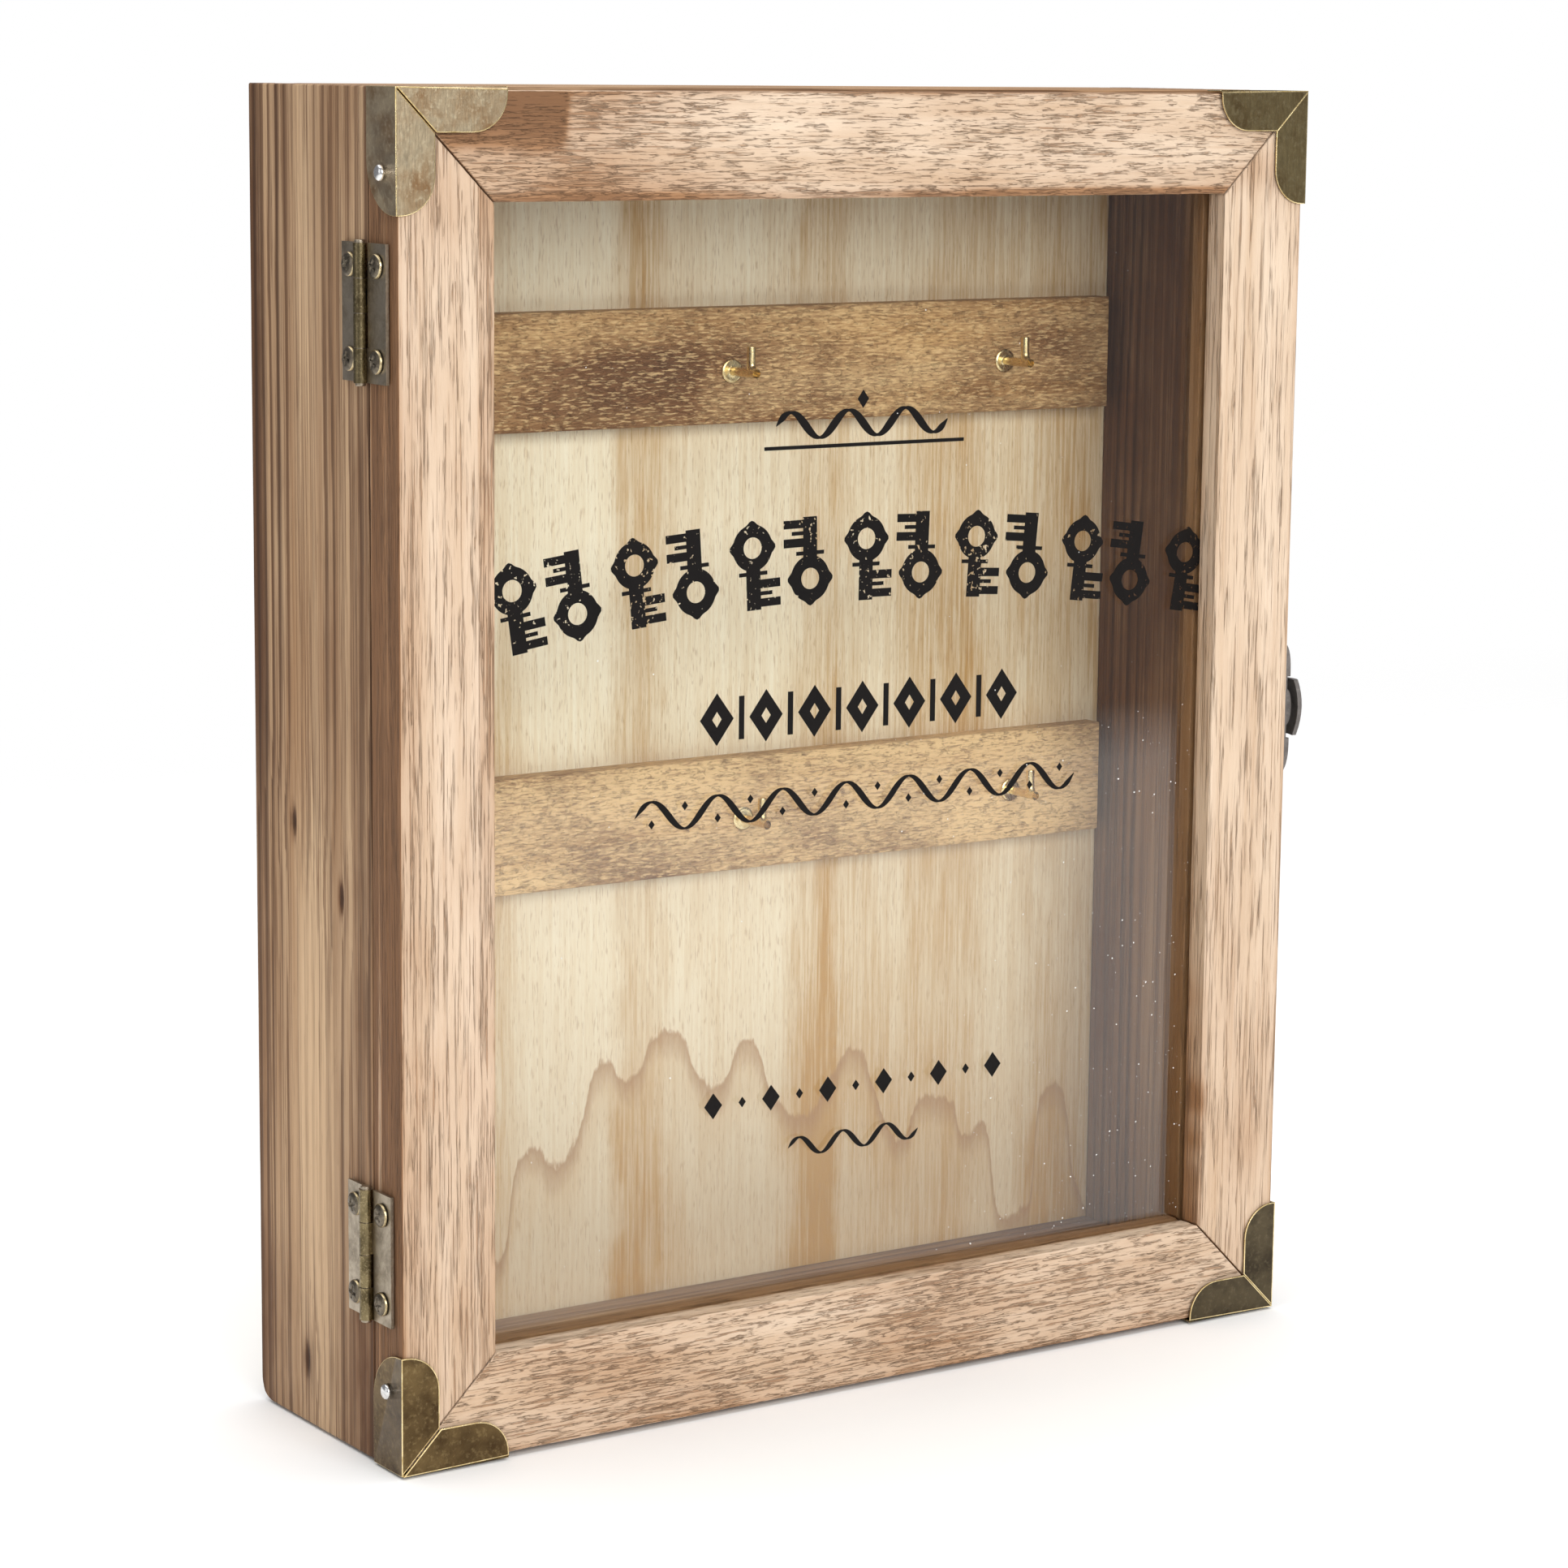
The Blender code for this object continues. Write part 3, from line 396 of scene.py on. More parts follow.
def end_tone(place, normal):
    """The top and bottom boards, whose grain runs across the cabinet."""
    x, y, z = place
    seed = 14.0 if z > MID_HEIGHT else 17.0
    line = ring_lines(y + z, x, seed)
    burn = 0.35 + 0.4 * waves(y * 50, x * 8, seed) + 0.3 * step_up(abs(x), 0.09, 0.106)
    if normal.z * (z - MID_HEIGHT) < 0:
        burn = 0.62 + 0.45 * waves(y * 55, x * 9, seed + 4) + 0.3 * step_up(x, 0.02, 0.09)
    sink = GROOVE * (0.7 * line + 0.2 + 0.2 * waves(y * 1700, x * 60, seed))
    return burn, 0.7 * line, 0.35 + 0.5 * waves(y * 40, x * 6, seed + 1), max(0.0, sink)


def rebated_board(name, node, axis, way, rows, columns):
    """A board whose rear inner edge is cut away for the back board."""
    low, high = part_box(node)
    back_low, back_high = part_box("back_panel")
    ledge = back_low.y - ROOM
    piece = block(name, low, (high.x, ledge, high.z))
    rim = back_low[axis] - ROOM if way < 0 else back_high[axis] + ROOM
    raise_rim(piece, axis, way, rim, high.y - ledge)
    along = 2 if axis == 0 else 0
    saw_rows(piece, along, rows)
    saw_rows(piece, 1, columns, high=ledge)
    saw_rows(piece, 1, 8, low=ledge)
    ease_edges(piece, SANDED)
    return piece


def round_heel(piece):
    """Rounds the lower rear corner of a side board."""
    centre_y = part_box("left_side_panel")[1].y - HEEL
    for vertex in piece.data.vertices:
        u = (vertex.co.y - centre_y) / HEEL
        v = (HEEL - vertex.co.z) / HEEL
        if u > 0 and v > 0:
            vertex.co.y = centre_y + HEEL * u * math.sqrt(1 - v * v / 2)
            vertex.co.z = HEEL - HEEL * v * math.sqrt(1 - u * u / 2)


def wood_finish(name, pale, tan, brown, char, along, fibre=1.0, gloss=0.68, speck=0.35,
                dash=(1500, 40), lean=0.12, ring=0.0, cuts=0.62, flecks_and_glints=0.0):
    """Wood whose stored tone mixes four colours; stretched noise adds pores, streaks and crisp dashes."""
    finish, tree, shader = new_finish(name)

    def stretched(across, lengthways):
        return tuple(lengthways if axis == along else across for axis in range(3))

    pores = grain_noise(tree, stretched(2600, 110), 3.0, 0.6)
    strands = grain_noise(tree, stretched(900, 22), 4.0, 0.65, 0.2)
    streaks = grain_noise(tree, stretched(170, 9), 3.0, 0.55, 0.4)
    clouds = grain_noise(tree, stretched(45, 22), 4.0, 0.6)
    dashes = grain_noise(tree, stretched(*dash), 3.0, 0.6, 0.35)
    tone = add_node(tree, "ShaderNodeAttribute", attribute_name="tone")
    parts = add_node(tree, "ShaderNodeSeparateColor", {0: tone.outputs["Color"]})
    burn, line, paleness = parts.outputs
    light = sums(tree, "ADD", spread(tree, streaks, 0.3, 0.7), sums(tree, "SUBTRACT", paleness, 0.35))
    colour = mix_colours(tree, light, tan, pale)
    smoke = sums(tree, "MULTIPLY", burn, spread(tree, clouds, 0.3, 0.7, 0.55, 1.2))
    colour = mix_colours(tree, smoke, colour, brown)
    wear = sums(tree, "ADD", sums(tree, "MULTIPLY", line, lean), sums(tree, "MULTIPLY", burn, 0.09))
    cut = sums(tree, "ADD", dashes, wear)
    hair = grain_noise(tree, stretched(dash[0] * 0.55, dash[1] * 0.8), 4.0, 0.62, 0.5, (5, 2, 7))
    hair = sums(tree, "ABSOLUTE", sums(tree, "SUBTRACT", hair, 0.5))
    broken = grain_noise(tree, stretched(dash[0] * 0.3, dash[1] * 1.5), 2.0, 0.6, 0.2, (1, 8, 3))
    broken = sums(tree, "ADD", broken, wear)
    hair = sums(tree, "MULTIPLY", spread(tree, hair, 0.006, 0.034, 1.0, 0.0),
                spread(tree, broken, 0.50, 0.60))
    dent = sums(tree, "MAXIMUM", spread(tree, cut, 0.64, 0.69), hair)
    deep = mix_colours(tree, sums(tree, "MULTIPLY", sums(tree, "ADD", burn, line), 0.5), brown, char)
    colour = mix_colours(tree, spread(tree, burn, 0.85, 1.7, 0.0, 0.65), colour, char)
    colour = mix_colours(tree, sums(tree, "MULTIPLY", line, ring), colour, deep)
    colour = mix_colours(tree, sums(tree, "MULTIPLY", dent, cuts), colour, deep)
    colour = mix_colours(tree, spread(tree, strands, 0.52, 0.72, 0.0, speck), colour, brown)
    colour = mix_colours(tree, spread(tree, pores, 0.60, 0.72, 0.0, speck), colour, char)
    if flecks_and_glints:
        # Pale specks are painted highlights, glints on raised fibres; the brown specks are marks in the wood.
        lit = grain_noise(tree, stretched(2100, 400), 2.0, 0.6, 0.0, (3, 1, 2))
        colour = mix_colours(tree, spread(tree, lit, 0.53, 0.63, 0.0, flecks_and_glints), colour, pale)
        colour = mix_colours(tree, spread(tree, lit, 0.46, 0.38, 0.0, 0.7 * flecks_and_glints), colour, brown)
    feed(tree, shader, Base__Color=colour, Specular__IOR__Level=0.3)
    feed(tree, shader, Roughness=spread(tree, strands, 0.3, 0.7, gloss - 0.1, gloss + 0.12))
    relief = sums(tree, "ADD", sums(tree, "MULTIPLY", strands, 0.7), sums(tree, "MULTIPLY", pores, 0.6))
    relief = sums(tree, "SUBTRACT", relief, sums(tree, "MULTIPLY", dent, 0.8))
    roughen(tree, shader, relief, 0.13 * MM * fibre)
    return finish


pine_upright = wood_finish("scorched pine, upright", (0.62, 0.43, 0.26), (0.40, 0.235, 0.12),
                           (0.17, 0.076, 0.032), (0.045, 0.019, 0.008), along=2, dash=(950, 5), lean=0.2,
                           ring=0.8)
pine_level = wood_finish("scorched pine, level", (0.62, 0.43, 0.26), (0.40, 0.235, 0.12),
                         (0.165, 0.078, 0.035), (0.05, 0.022, 0.010), along=0, dash=(950, 6), lean=0.2,
                         ring=0.8)
for side, side_name in ((-1, "left"), (1, "right")):
    board = rebated_board(f"{side_name}_side_board", f"{side_name}_side_panel", 0, side, 210, 99)
    round_heel(board)
    work_surface(board, side_tone(side))
    smooth_over(board, 60)
    hand_over(board, pine_upright, "pine_board", "box", f"{side_name}_side_panel")
for end, end_name in ((-1, "bottom"), (1, "top")):
    board = rebated_board(f"{end_name}_board", f"{end_name}_panel", 2, end, 150, 60)
    work_surface(board, end_tone)
    smooth_over(board, 60)
    hand_over(board, pine_level, "pine_board", "box", f"{end_name}_panel")


# Back board: thin pale plywood, glued in the rebate. Its face veneer shows brown stains that run
# down it, and near the foot the peaked figure of the veneer, darkest along its upper line.
FIGURE = ((-106, 8), (-95, 12), (-88, 22), (-80, 30), (-70, 24), (-60, 22), (-57, 38), (-54, 46),
          (-51, 48), (-46, 43), (-41, 46), (-37, 57), (-31, 67), (-27, 61), (-23, 62), (-20, 69),
          (-15.5, 71.5), (-11, 68), (-6, 58.5), (-1, 56), (3, 64), (6, 67), (9, 64.5), (14, 53),
          (22, 46.5), (29, 52), (32, 57), (36.5, 60.5), (41.5, 54), (46.5, 41.5), (51, 37), (54, 42),
          (57, 46.5), (62, 46), (66, 44), (69.5, 36), (72, 36.5), (74, 38.5), (77, 33.5), (82, 13),
          (89, 14), (91.5, 40), (95.5, 45), (99, 42), (103, 20), (107, 12))  # millimetres: across, height
STAINS = ((-106, 0.3), (-80, 0.15), (-62, 0.5), (-50, 0.18), (-34, 0.15), (-24, 0.75), (-14, 0.35),
          (-2, 0.3), (8, 0.28), (18, 0.5), (27, 0.85), (35, 0.45), (45, 0.55), (58, 0.55), (66, 0.75),
          (78, 0.4), (92, 0.7), (107, 0.8))  # millimetres across, strength
PEAK = 80.0  # the height that counts as 1, in millimetres
REACH = 110.0  # the curves run this far to each side, in millimetres


def profile_curve(tree, across, points, top):
    """A line through points: millimetres across the cabinet to a height between 0 and 1."""
    node = add_node(tree, "ShaderNodeFloatCurve", {1: spread(tree, across, -REACH * MM, REACH * MM)})
    curve = node.mapping.curves[0]
    spots = [((x + REACH) / (2 * REACH), min(1.0, y / top)) for x, y in points]
    curve.points[0].location = spots[0]
    curve.points[1].location = spots[-1]
    for spot in spots[1:-1]:
        curve.points.new(*spot)
    node.mapping.update()
    return node.outputs[0]


def plywood_finish():
    finish, tree, shader = new_finish("stained plywood")
    place = add_node(tree, "ShaderNodeTexCoord").outputs["Object"]
    x, y, z = add_node(tree, "ShaderNodeSeparateXYZ", {0: place}).outputs
    veneer = spread(tree, y, back_low.y + 1.0 * MM, back_low.y + 1.3 * MM, 1.0, 0.0)
    wobble = grain_noise(tree, (130, 10, 60), 3.0, 0.6)
    fine = grain_noise(tree, (1500, 10, 320), 2.0, 0.6)
    ragged = sums(tree, "ADD", sums(tree, "MULTIPLY", sums(tree, "SUBTRACT", wobble, 0.5), 0.008),
                  sums(tree, "MULTIPLY", sums(tree, "SUBTRACT", fine, 0.5), 0.004))
    crest = sums(tree, "MULTIPLY", profile_curve(tree, x, FIGURE, PEAK), PEAK * MM)
    below = sums(tree, "ADD", sums(tree, "SUBTRACT", crest, z), ragged)
    inside = sums(tree, "MULTIPLY", veneer, spread(tree, below, -0.0006, 0.0006))
    rim = sums(tree, "MULTIPLY", inside, spread(tree, below, 0.0002, 0.0075, 1.0, 0.0))
    body = sums(tree, "MULTIPLY", inside, spread(tree, below, 0.0, 0.020, 0.48, 0.06))
    shifted = sums(tree, "ADD", x, sums(tree, "MULTIPLY", sums(tree, "SUBTRACT", wobble, 0.5), 0.012))
    bands = profile_curve(tree, shifted, STAINS, 1.0)
    flow = grain_noise(tree, (60, 10, 9), 3.0, 0.6, 0.3)
    stain = sums(tree, "MULTIPLY", bands, spread(tree, flow, 0.33, 0.66, 0.45, 1.25))
    lower = spread(tree, z, 0.07, 0.04, 0.0, 0.3)
    stain = sums(tree, "ADD", stain, sums(tree, "MULTIPLY", lower, bands))
    strands = grain_noise(tree, (1500, 60, 45), 4.0, 0.65)
    stain = sums(tree, "MULTIPLY", stain, spread(tree, strands, 0.38, 0.62, 0.7, 1.25))
    stain = sums(tree, "MULTIPLY", stain, sums(tree, "ADD", sums(tree, "MULTIPLY", veneer, 0.7), 0.3))
    pores = grain_noise(tree, (3000, 100, 300), 2.0, 0.6)
    colour = mix_colours(tree, spread(tree, strands, 0.35, 0.65), (0.97, 0.88, 0.69), (0.92, 0.80, 0.59))
    # Painted shade: the face is darkened towards its foot.
    colour = mix_colours(tree, spread(tree, z, 0.14, 0.02, 0.0, 0.6), colour, (0.62, 0.51, 0.36))
    colour = mix_colours(tree, sums(tree, "MULTIPLY", stain, 0.95), colour, (0.50, 0.275, 0.08))
    colour = mix_colours(tree, body, colour, (0.53, 0.32, 0.125))
    colour = mix_colours(tree, sums(tree, "MULTIPLY", rim, 0.62), colour, (0.33, 0.155, 0.06))
    colour = mix_colours(tree, spread(tree, pores, 0.58, 0.66, 0.0, 0.42), colour, (0.44, 0.26, 0.12))
    feed(tree, shader, Base__Color=colour, Roughness=spread(tree, strands, 0.3, 0.7, 0.5, 0.66))
    feed(tree, shader, Specular__IOR__Level=0.35)
    roughen(tree, shader, sums(tree, "ADD", pores, strands), 0.05 * MM)
    return finish


back_low, back_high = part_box("back_panel")
back = block("back_board", back_low, back_high)
saw_rows(back, 0, 20)
saw_rows(back, 2, 24)
ease_edges(back, 0.2 * MM)
smooth_over(back)
hand_over(back, plywood_finish(), "back_plywood", "box", "back_panel")


# Key rails: two planed strips of darker, honey-brown wood, glued flat to the back board, with a bored
# hole for each hook. Scorched in soft patches, with their grain running across.
UPPER_ROW = 223.2 * MM  # height of each rail's middle
LOWER_ROW = 121.2 * MM


def rail_tone(place, normal):
    x, _, z = place
    upper = z > (UPPER_ROW + LOWER_ROW) / 2
    seed = 31.0 if upper else 37.0
    height = z - (UPPER_ROW if upper else LOWER_ROW)
    blotch = waves(x * 28, height * 60, seed) + 0.5 * waves(x * 70, height * 140, seed + 1)
    if upper:
        scorch = 0.75 * bell(x + 0.045, 0.022) * bell(height + 0.001, 0.008)
        scorch += 0.5 * bell(x + 0.01, 0.03) * bell(height, 0.007)
        scorch += 0.55 * bell(x - 0.085, 0.016) * bell(height - 0.004, 0.008) + 0.3
    else:
        scorch = 0.3 * bell(x + 0.05, 0.02) * bell(height + 0.002, 0.007) + 0.12 - 0.2 * bell(x - 0.08, 0.02)
    burn = 1.2 * scorch - 0.05 + 0.75 * blotch + 0.25 * step_up(abs(height), 0.011, 0.013)
    line = 0.5 * max(0.0, waves(x * 90, height * 900, seed + 3))
    line += 0.2 * max(0.0, waves(x * 260, height * 2300, seed))
    pale = 0.35 + 0.3 * waves(x * 30, height * 90, seed + 6) + (0.0 if upper else 0.3)
    return burn, line, max(0.0, pale), 0.05 * MM * line


honey = wood_finish("honey-brown strip", (0.78, 0.53, 0.265), (0.50, 0.275, 0.10), (0.21, 0.09, 0.03),
                    (0.09, 0.038, 0.014), along=0, speck=0.3, gloss=0.6, dash=(1900, 330), cuts=0.22,
                    flecks_and_glints=0.7)
for row in ("upper", "lower"):
    low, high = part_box(f"{row}_key_rail")
    rail = block(f"{row}_hook_rail", low, high)
    saw_rows(rail, 0, 180)
    saw_rows(rail, 2, 50)
    ease_edges(rail, 0.25 * MM)
    work_surface(rail, rail_tone)
    smooth_over(rail, 60)
    hand_over(rail, honey, "key_rail_wood", "box", f"{row}_key_rail")


# Hooks: bent brass wire with a pressed-on round flange, screwed into the rails up to the flange. The
# wire leaves the rail level and turns up at its end.
WIRE = 1.0 * MM  # radius
FLANGE = 2.7 * MM  # radius
FLANGE_EDGE = 0.12 * MM  # broken edge of the flange's back
HOOK_BEND = 2.2 * MM  # radius of the wire's middle
FLANGE_STEPS = ((0.12, FLANGE / (FLANGE - FLANGE_EDGE)), (0.3, 1.0), (0.16, 0.94), (0.07, 0.82),
                (-0.12, 0.64), (0.15, WIRE / (FLANGE * 0.94 * 0.82 * 0.64)))  # millimetres forward, growth


def swell(share):
    bpy.ops.transform.resize(value=(share, share, share))


def weld_up(piece, reach):
    """Merges points that are closer than reach, and turns every face outwards."""
    open_up(piece)
    bpy.ops.mesh.select_all(action="SELECT")
    bpy.ops.mesh.remove_doubles(threshold=reach)
    bpy.ops.mesh.normals_make_consistent(inside=False)
    close_up()


def bent_hook(node):
    """One hook, made where its node is: disc, flange, level wire, bend, upright wire, rounded tip."""
    low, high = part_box(node)
    x = (low.x + high.x) / 2
    axis_z = low.z + FLANGE
    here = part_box("upper_key_rail")[0].y - 0.05 * MM
    clear_bench()
    bpy.ops.mesh.primitive_circle_add(
        vertices=28, radius=FLANGE - FLANGE_EDGE, fill_type="NGON", location=(x, here, axis_z),
        rotation=(math.pi / 2, 0, 0))
    hook = bpy.context.object
    settle(hook)
    open_up(hook)
    bpy.ops.mesh.select_all(action="SELECT")
    for forward, growth in FLANGE_STEPS:
        push((0, -forward * MM, 0))
        swell(growth)
        here -= forward * MM
    level_end = low.y + WIRE + HOOK_BEND
    push((0, level_end - here, 0))
    centre = (x, level_end, axis_z + HOOK_BEND)
    bpy.ops.mesh.spin(steps=8, angle=math.pi / 2, center=centre, axis=(-1, 0, 0))
    rise = high.z - (axis_z + HOOK_BEND) - 0.35 * MM
    push((0, 0, rise))
    push((0, 0, 0.25 * MM))
    swell(0.86)
    push((0, 0, 0.10 * MM))
    swell(0.5)
    weld_up(hook, 0.002 * MM)
    smooth_over(hook, 40)
    return hook


def metal_finish(name, main, dark, bright, rough=0.35, patch=220, wear=0.5, pits=0.03, bare=1.0):
    """Aged metal: soft patches of a darker and a brighter tone, fine scratches and pits."""
    finish, tree, shader = new_finish(name)
    patches = grain_noise(tree, (patch, patch, patch), 5.0, 0.62, 0.3)
    fine = grain_noise(tree, (patch * 8, patch * 8, patch * 8), 3.0, 0.6)
    scratch = grain_noise(tree, (patch * 22, patch * 2, patch * 3), 2.0, 0.5)
    colour = mix_colours(tree, spread(tree, patches, 0.36, 0.6), dark, main)
    colour = mix_colours(tree, spread(tree, fine, 0.52, 0.72, 0.0, wear), colour, bright)
    feed(tree, shader, Base__Color=colour, Metallic=bare)
    feed(tree, shader, Roughness=sums(tree, "ADD", spread(tree, patches, 0.3, 0.7, rough + 0.1, rough - 0.05),
                                      spread(tree, scratch, 0.4, 0.7, 0.0, 0.08)))
    roughen(tree, shader, sums(tree, "ADD", fine, sums(tree, "MULTIPLY", scratch, 0.5)), pits * MM)
    return finish


hook_brass = metal_finish("hook brass", (0.86, 0.70, 0.38), (0.62, 0.45, 0.2), (1.0, 0.93, 0.68),
                          rough=0.24, pits=0.01)
for row in ("upper", "lower"):
    for column in ("left", "middle", "right"):
        node = f"{row}_{column}_hook"
        hook = bent_hook(node)
        hook.name = f"{row}_{column}_wire_hook"
        hand_over(hook, hook_brass, "hook_brass", "box", node)


# Door frame: two stiles and two rails, mitred and glued, of a light wood that has been scorched,
# brushed and washed with a thin peach-white stain. The washed ridges stand over brown hollows.
FACE_GRAIN = 0.16 * MM  # depth of the hollows
LIP = 6.0 * MM  # wood in front of the glass
CELL = 1.2 * MM  # spacing of the points along a member
MEMBERS = {"left": "door_left_stile", "right": "door_right_stile",
           "top": "door_top_rail", "bottom": "door_bottom_rail"}


def member_tone(which):
    upright = which in ("left", "right")
    seed = {"left": 41.0, "right": 47.0, "top": 53.0, "bottom": 59.0}[which]
    low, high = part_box(MEMBERS[which])
    width = high.x - low.x if upright else high.z - low.z

    def tone_at(place, normal):
        x, y, z = place
        along = z if upright else x
        across = {"left": x - low.x, "right": high.x - x, "top": high.z - z, "bottom": z - low.z}[which]
        share = across / width
        front = normal.y < -0.5
        outer = {"left": -normal.x, "right": normal.x, "top": normal.z, "bottom": -normal.z}[which] > 0.5
        inner = {"left": normal.x, "right": -normal.x, "top": -normal.z, "bottom": normal.z}[which] > 0.5
        side = across if front else y * 1.3
        rough = {"left": 0.36, "right": 0.16, "top": 0.55, "bottom": 0.55}[which]
        patch = waves(along * 22, side * 70, seed) + 0.5 * waves(along * 60, side * 180, seed + 2)
        burn = 0.10 + 0.28 * patch
        if which == "left":
            burn += 0.6 * step_up(along, 0.245, 0.262) * bell(share - 0.45, 0.25) * 0.5
            strip = step_up(across, 18.2 * MM, 18.7 * MM) * (0.35 + 0.65 * step_up(along, 0.08, 0.2))
            rough += 0.45 * strip
            burn += 0.4 * strip + 0.22 * (1 - step_up(along, 0.03, 0.2))
            burn += 0.28 * bell(share - 0.12, 0.1)
        if which == "right":
            burn += -0.2 + 0.5 * bell(along - 0.268, 0.006) + 0.4 * (1 - step_up(along, 0.03, 0.2))
        if which == "top":
            burn += 2.6 * step_up(-x, 0.0765, 0.0795) * step_up(share, 0.75, -0.1)
            burn += 0.35 * step_up(-x, 0.02, 0.09) + 0.25 * step_up(share, 0.55, 0.9)
            edge = step_up(across, width - 2.4 * MM, width - 0.8 * MM)
            burn += 0.9 * edge * (0.5 + 0.5 * step_up(x, -0.09, 0.06))
        if which == "bottom":
            burn += 0.2 + 0.15 * step_up(0.4 - share, 0.0, 0.3)
            rough += 0.1
        long_dash = waves(along * 95, side * 1050, seed + 4)
        short_dash = waves(along * 260, side * 2100, seed + 6)
        hollow = 0.6 * long_dash + 0.45 * short_dash + 0.35 * patch
        line = step_up(hollow, 0.42 - rough, 0.95 - rough)
        if front:
            edge = step_up(1.6 * MM - across, 0.0, 1.3 * MM)
            burn += 0.55 * edge * (0.6 + 0.8 * waves(along * 30, 3, seed))
        if outer:
            burn = (1.7 if which == "left" else 0.6) + 1.5 * waves(along * 7, y * 400, seed + 8)
            burn += 0.55 * step_up(-24 * MM - y, 0.0, 7 * MM) if which == "left" else 0.2
            line = 0.75 * ring_lines(y * 1.2, along, seed + 9, 2.4 * MM) + 0.3 * line
        if inner:
            burn = {"left": 0.6, "right": 0.14, "top": 0.9, "bottom": 0.12}[which] + 0.3 * patch
            burn += 0.7 * step_up(y, -27.4 * MM, -26.4 * MM) * (0.4 if which == "right" else 0.75)
            line = 0.4 * line
        if front:
            line = 0.6 * line
        sink = FACE_GRAIN * (0.75 * line + 0.12 * short_dash + 0.12)
        pale = 0.45 + 0.35 * waves(along * 18, side * 120, seed + 10) - 0.4 * line
        if which == "right" and z < 0.1:
            glue = (1 - step_up(z, 0.045, 0.095)) * (0.6 + 0.7 * waves(z * 120, 4, seed))
            burn += 1.3 * glue * (bell(width - across, 1.2 * MM) if front else float(inner))
        palest = -0.35 if which == "right" and front else 0.0
        return max(palest, burn), line, max(0.0, pale), max(0.0, sink)

    return tone_at


def frame_member(which):
    """One mitred member with its rebate for the glass: block, rebate, rows, then both ends mitred."""
    node = MEMBERS[which]
    low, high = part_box(node)
    glass_low, glass_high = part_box("glass_pane")
    axis = 0 if which in ("left", "right") else 2
    along = 2 - axis
    way = -1 if which in ("left", "bottom") else 1
    lip_y = low.y + LIP
    piece = block(f"{node}_wood", low, (high.x, lip_y, high.z))
    rim = (glass_low[axis] if way < 0 else glass_high[axis]) + way * 0.5 * MM
    raise_rim(piece, axis, way, rim, high.y - lip_y)
    length = high[along] - low[along]
    outer, window = (low[axis], high[axis]) if way < 0 else (high[axis], low[axis])
    saw_rows(piece, axis, 45, low=min(rim, outer), high=max(rim, outer))
    saw_rows(piece, axis, 12, low=min(rim, window), high=max(rim, window))
    saw_rows(piece, 1, 14, high=lip_y)
    saw_rows(piece, 1, 10, low=lip_y)
    saw_rows(piece, along, int(length / CELL))
    mitre_ends(piece, low, high, axis, along, way)
    ease_edges(piece, 0.3 * MM)
    return piece


def mitre_ends(piece, low, high, axis, along, way):
    """Draws the points in along the member, so that both ends meet their neighbours at 45 degrees."""
    length = high[along] - low[along]
    for vertex in piece.data.vertices:
        across = vertex.co[axis] - low[axis] if way < 0 else high[axis] - vertex.co[axis]
        share = (vertex.co[along] - low[along]) / length
        vertex.co[along] = low[along] + across + share * (length - 2 * across)


washed = {}
for along, way in ((2, "upright"), (0, "level")):
    washed[along] = wood_finish(f"washed scorched wood, {way}", (0.71, 0.565, 0.43), (0.60, 0.44, 0.305),
                                (0.37, 0.195, 0.095), (0.17, 0.08, 0.035), along=along, fibre=1.9, speck=0.24,
                                dash=(2300, 26) if along == 2 else (2600, 120), lean=0.1, ring=0.04)
for which, node in MEMBERS.items():
    member = frame_member(which)
    work_surface(member, member_tone(which))
    smooth_over(member, 60)
    along = 2 if which in ("left", "right") else 0
    hand_over(member, washed[along], "washed_frame_wood", "door", node)


# Glazing beads: thin square strips of the same wood, pinned behind the glass to hold it in its rebate,
# mitred at the corners, scorched dark and left unwashed.
bead_woods = {}
for along, way in ((2, "upright"), (0, "level")):
    bead_woods[along] = wood_finish(f"bead wood, {way}", (0.30, 0.165, 0.075), (0.2, 0.10, 0.042),
                                    (0.11, 0.05, 0.02), (0.05, 0.022, 0.01), along=along)
for which in MEMBERS:
    node = f"{which}_glazing_bead"
    low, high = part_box(node)
    axis = 0 if which in ("left", "right") else 2
    way = -1 if which in ("left", "bottom") else 1
    bead = block(f"{which}_glass_bead", low, high)
    saw_rows(bead, 2 - axis, 60)
    saw_rows(bead, axis, 6)
    mitre_ends(bead, low, high, axis, 2 - axis, way)
    ease_edges(bead, 0.3 * MM)
    smooth_over(bead, 50)
    hand_over(bead, bead_woods[2 - axis], "glazing_bead_wood", "door", node)


# Glass: one clear pane, 2 mm thick, with its edges just broken, lying in the door's rebate. A little
# dust has settled on it, most of all on its lower right.
DUST_COUNT = 420


def clear_glass():
    """Glass that lets the lamps through to what stands behind it."""
    finish, tree, shader = new_finish("clear glass")
    smear = grain_noise(tree, (9, 9, 5), 4.0, 0.6, 0.4)
    feed(tree, shader, Base__Color=mix_colours(tree, smear, (0.985, 0.99, 0.985), (0.975, 0.985, 0.98)))
    feed(tree, shader, Roughness=spread(tree, smear, 0.3, 0.8, 0.0, 0.03), IOR=1.5, Transmission__Weight=1.0)
    path = add_node(tree, "ShaderNodeLightPath")
    passing = add_node(tree, "ShaderNodeBsdfTransparent", {"Color": (0.95, 0.96, 0.95, 1.0)})
    lamps = sums(tree, "MAXIMUM", path.outputs["Is Shadow Ray"], path.outputs["Is Diffuse Ray"])
    mixed = add_node(tree, "ShaderNodeMixShader", {0: lamps, 1: shader.outputs[0], 2: passing.outputs[0]})
    tree.links.new(mixed.outputs[0], tree.nodes["Material Output"].inputs["Surface"])
    return finish


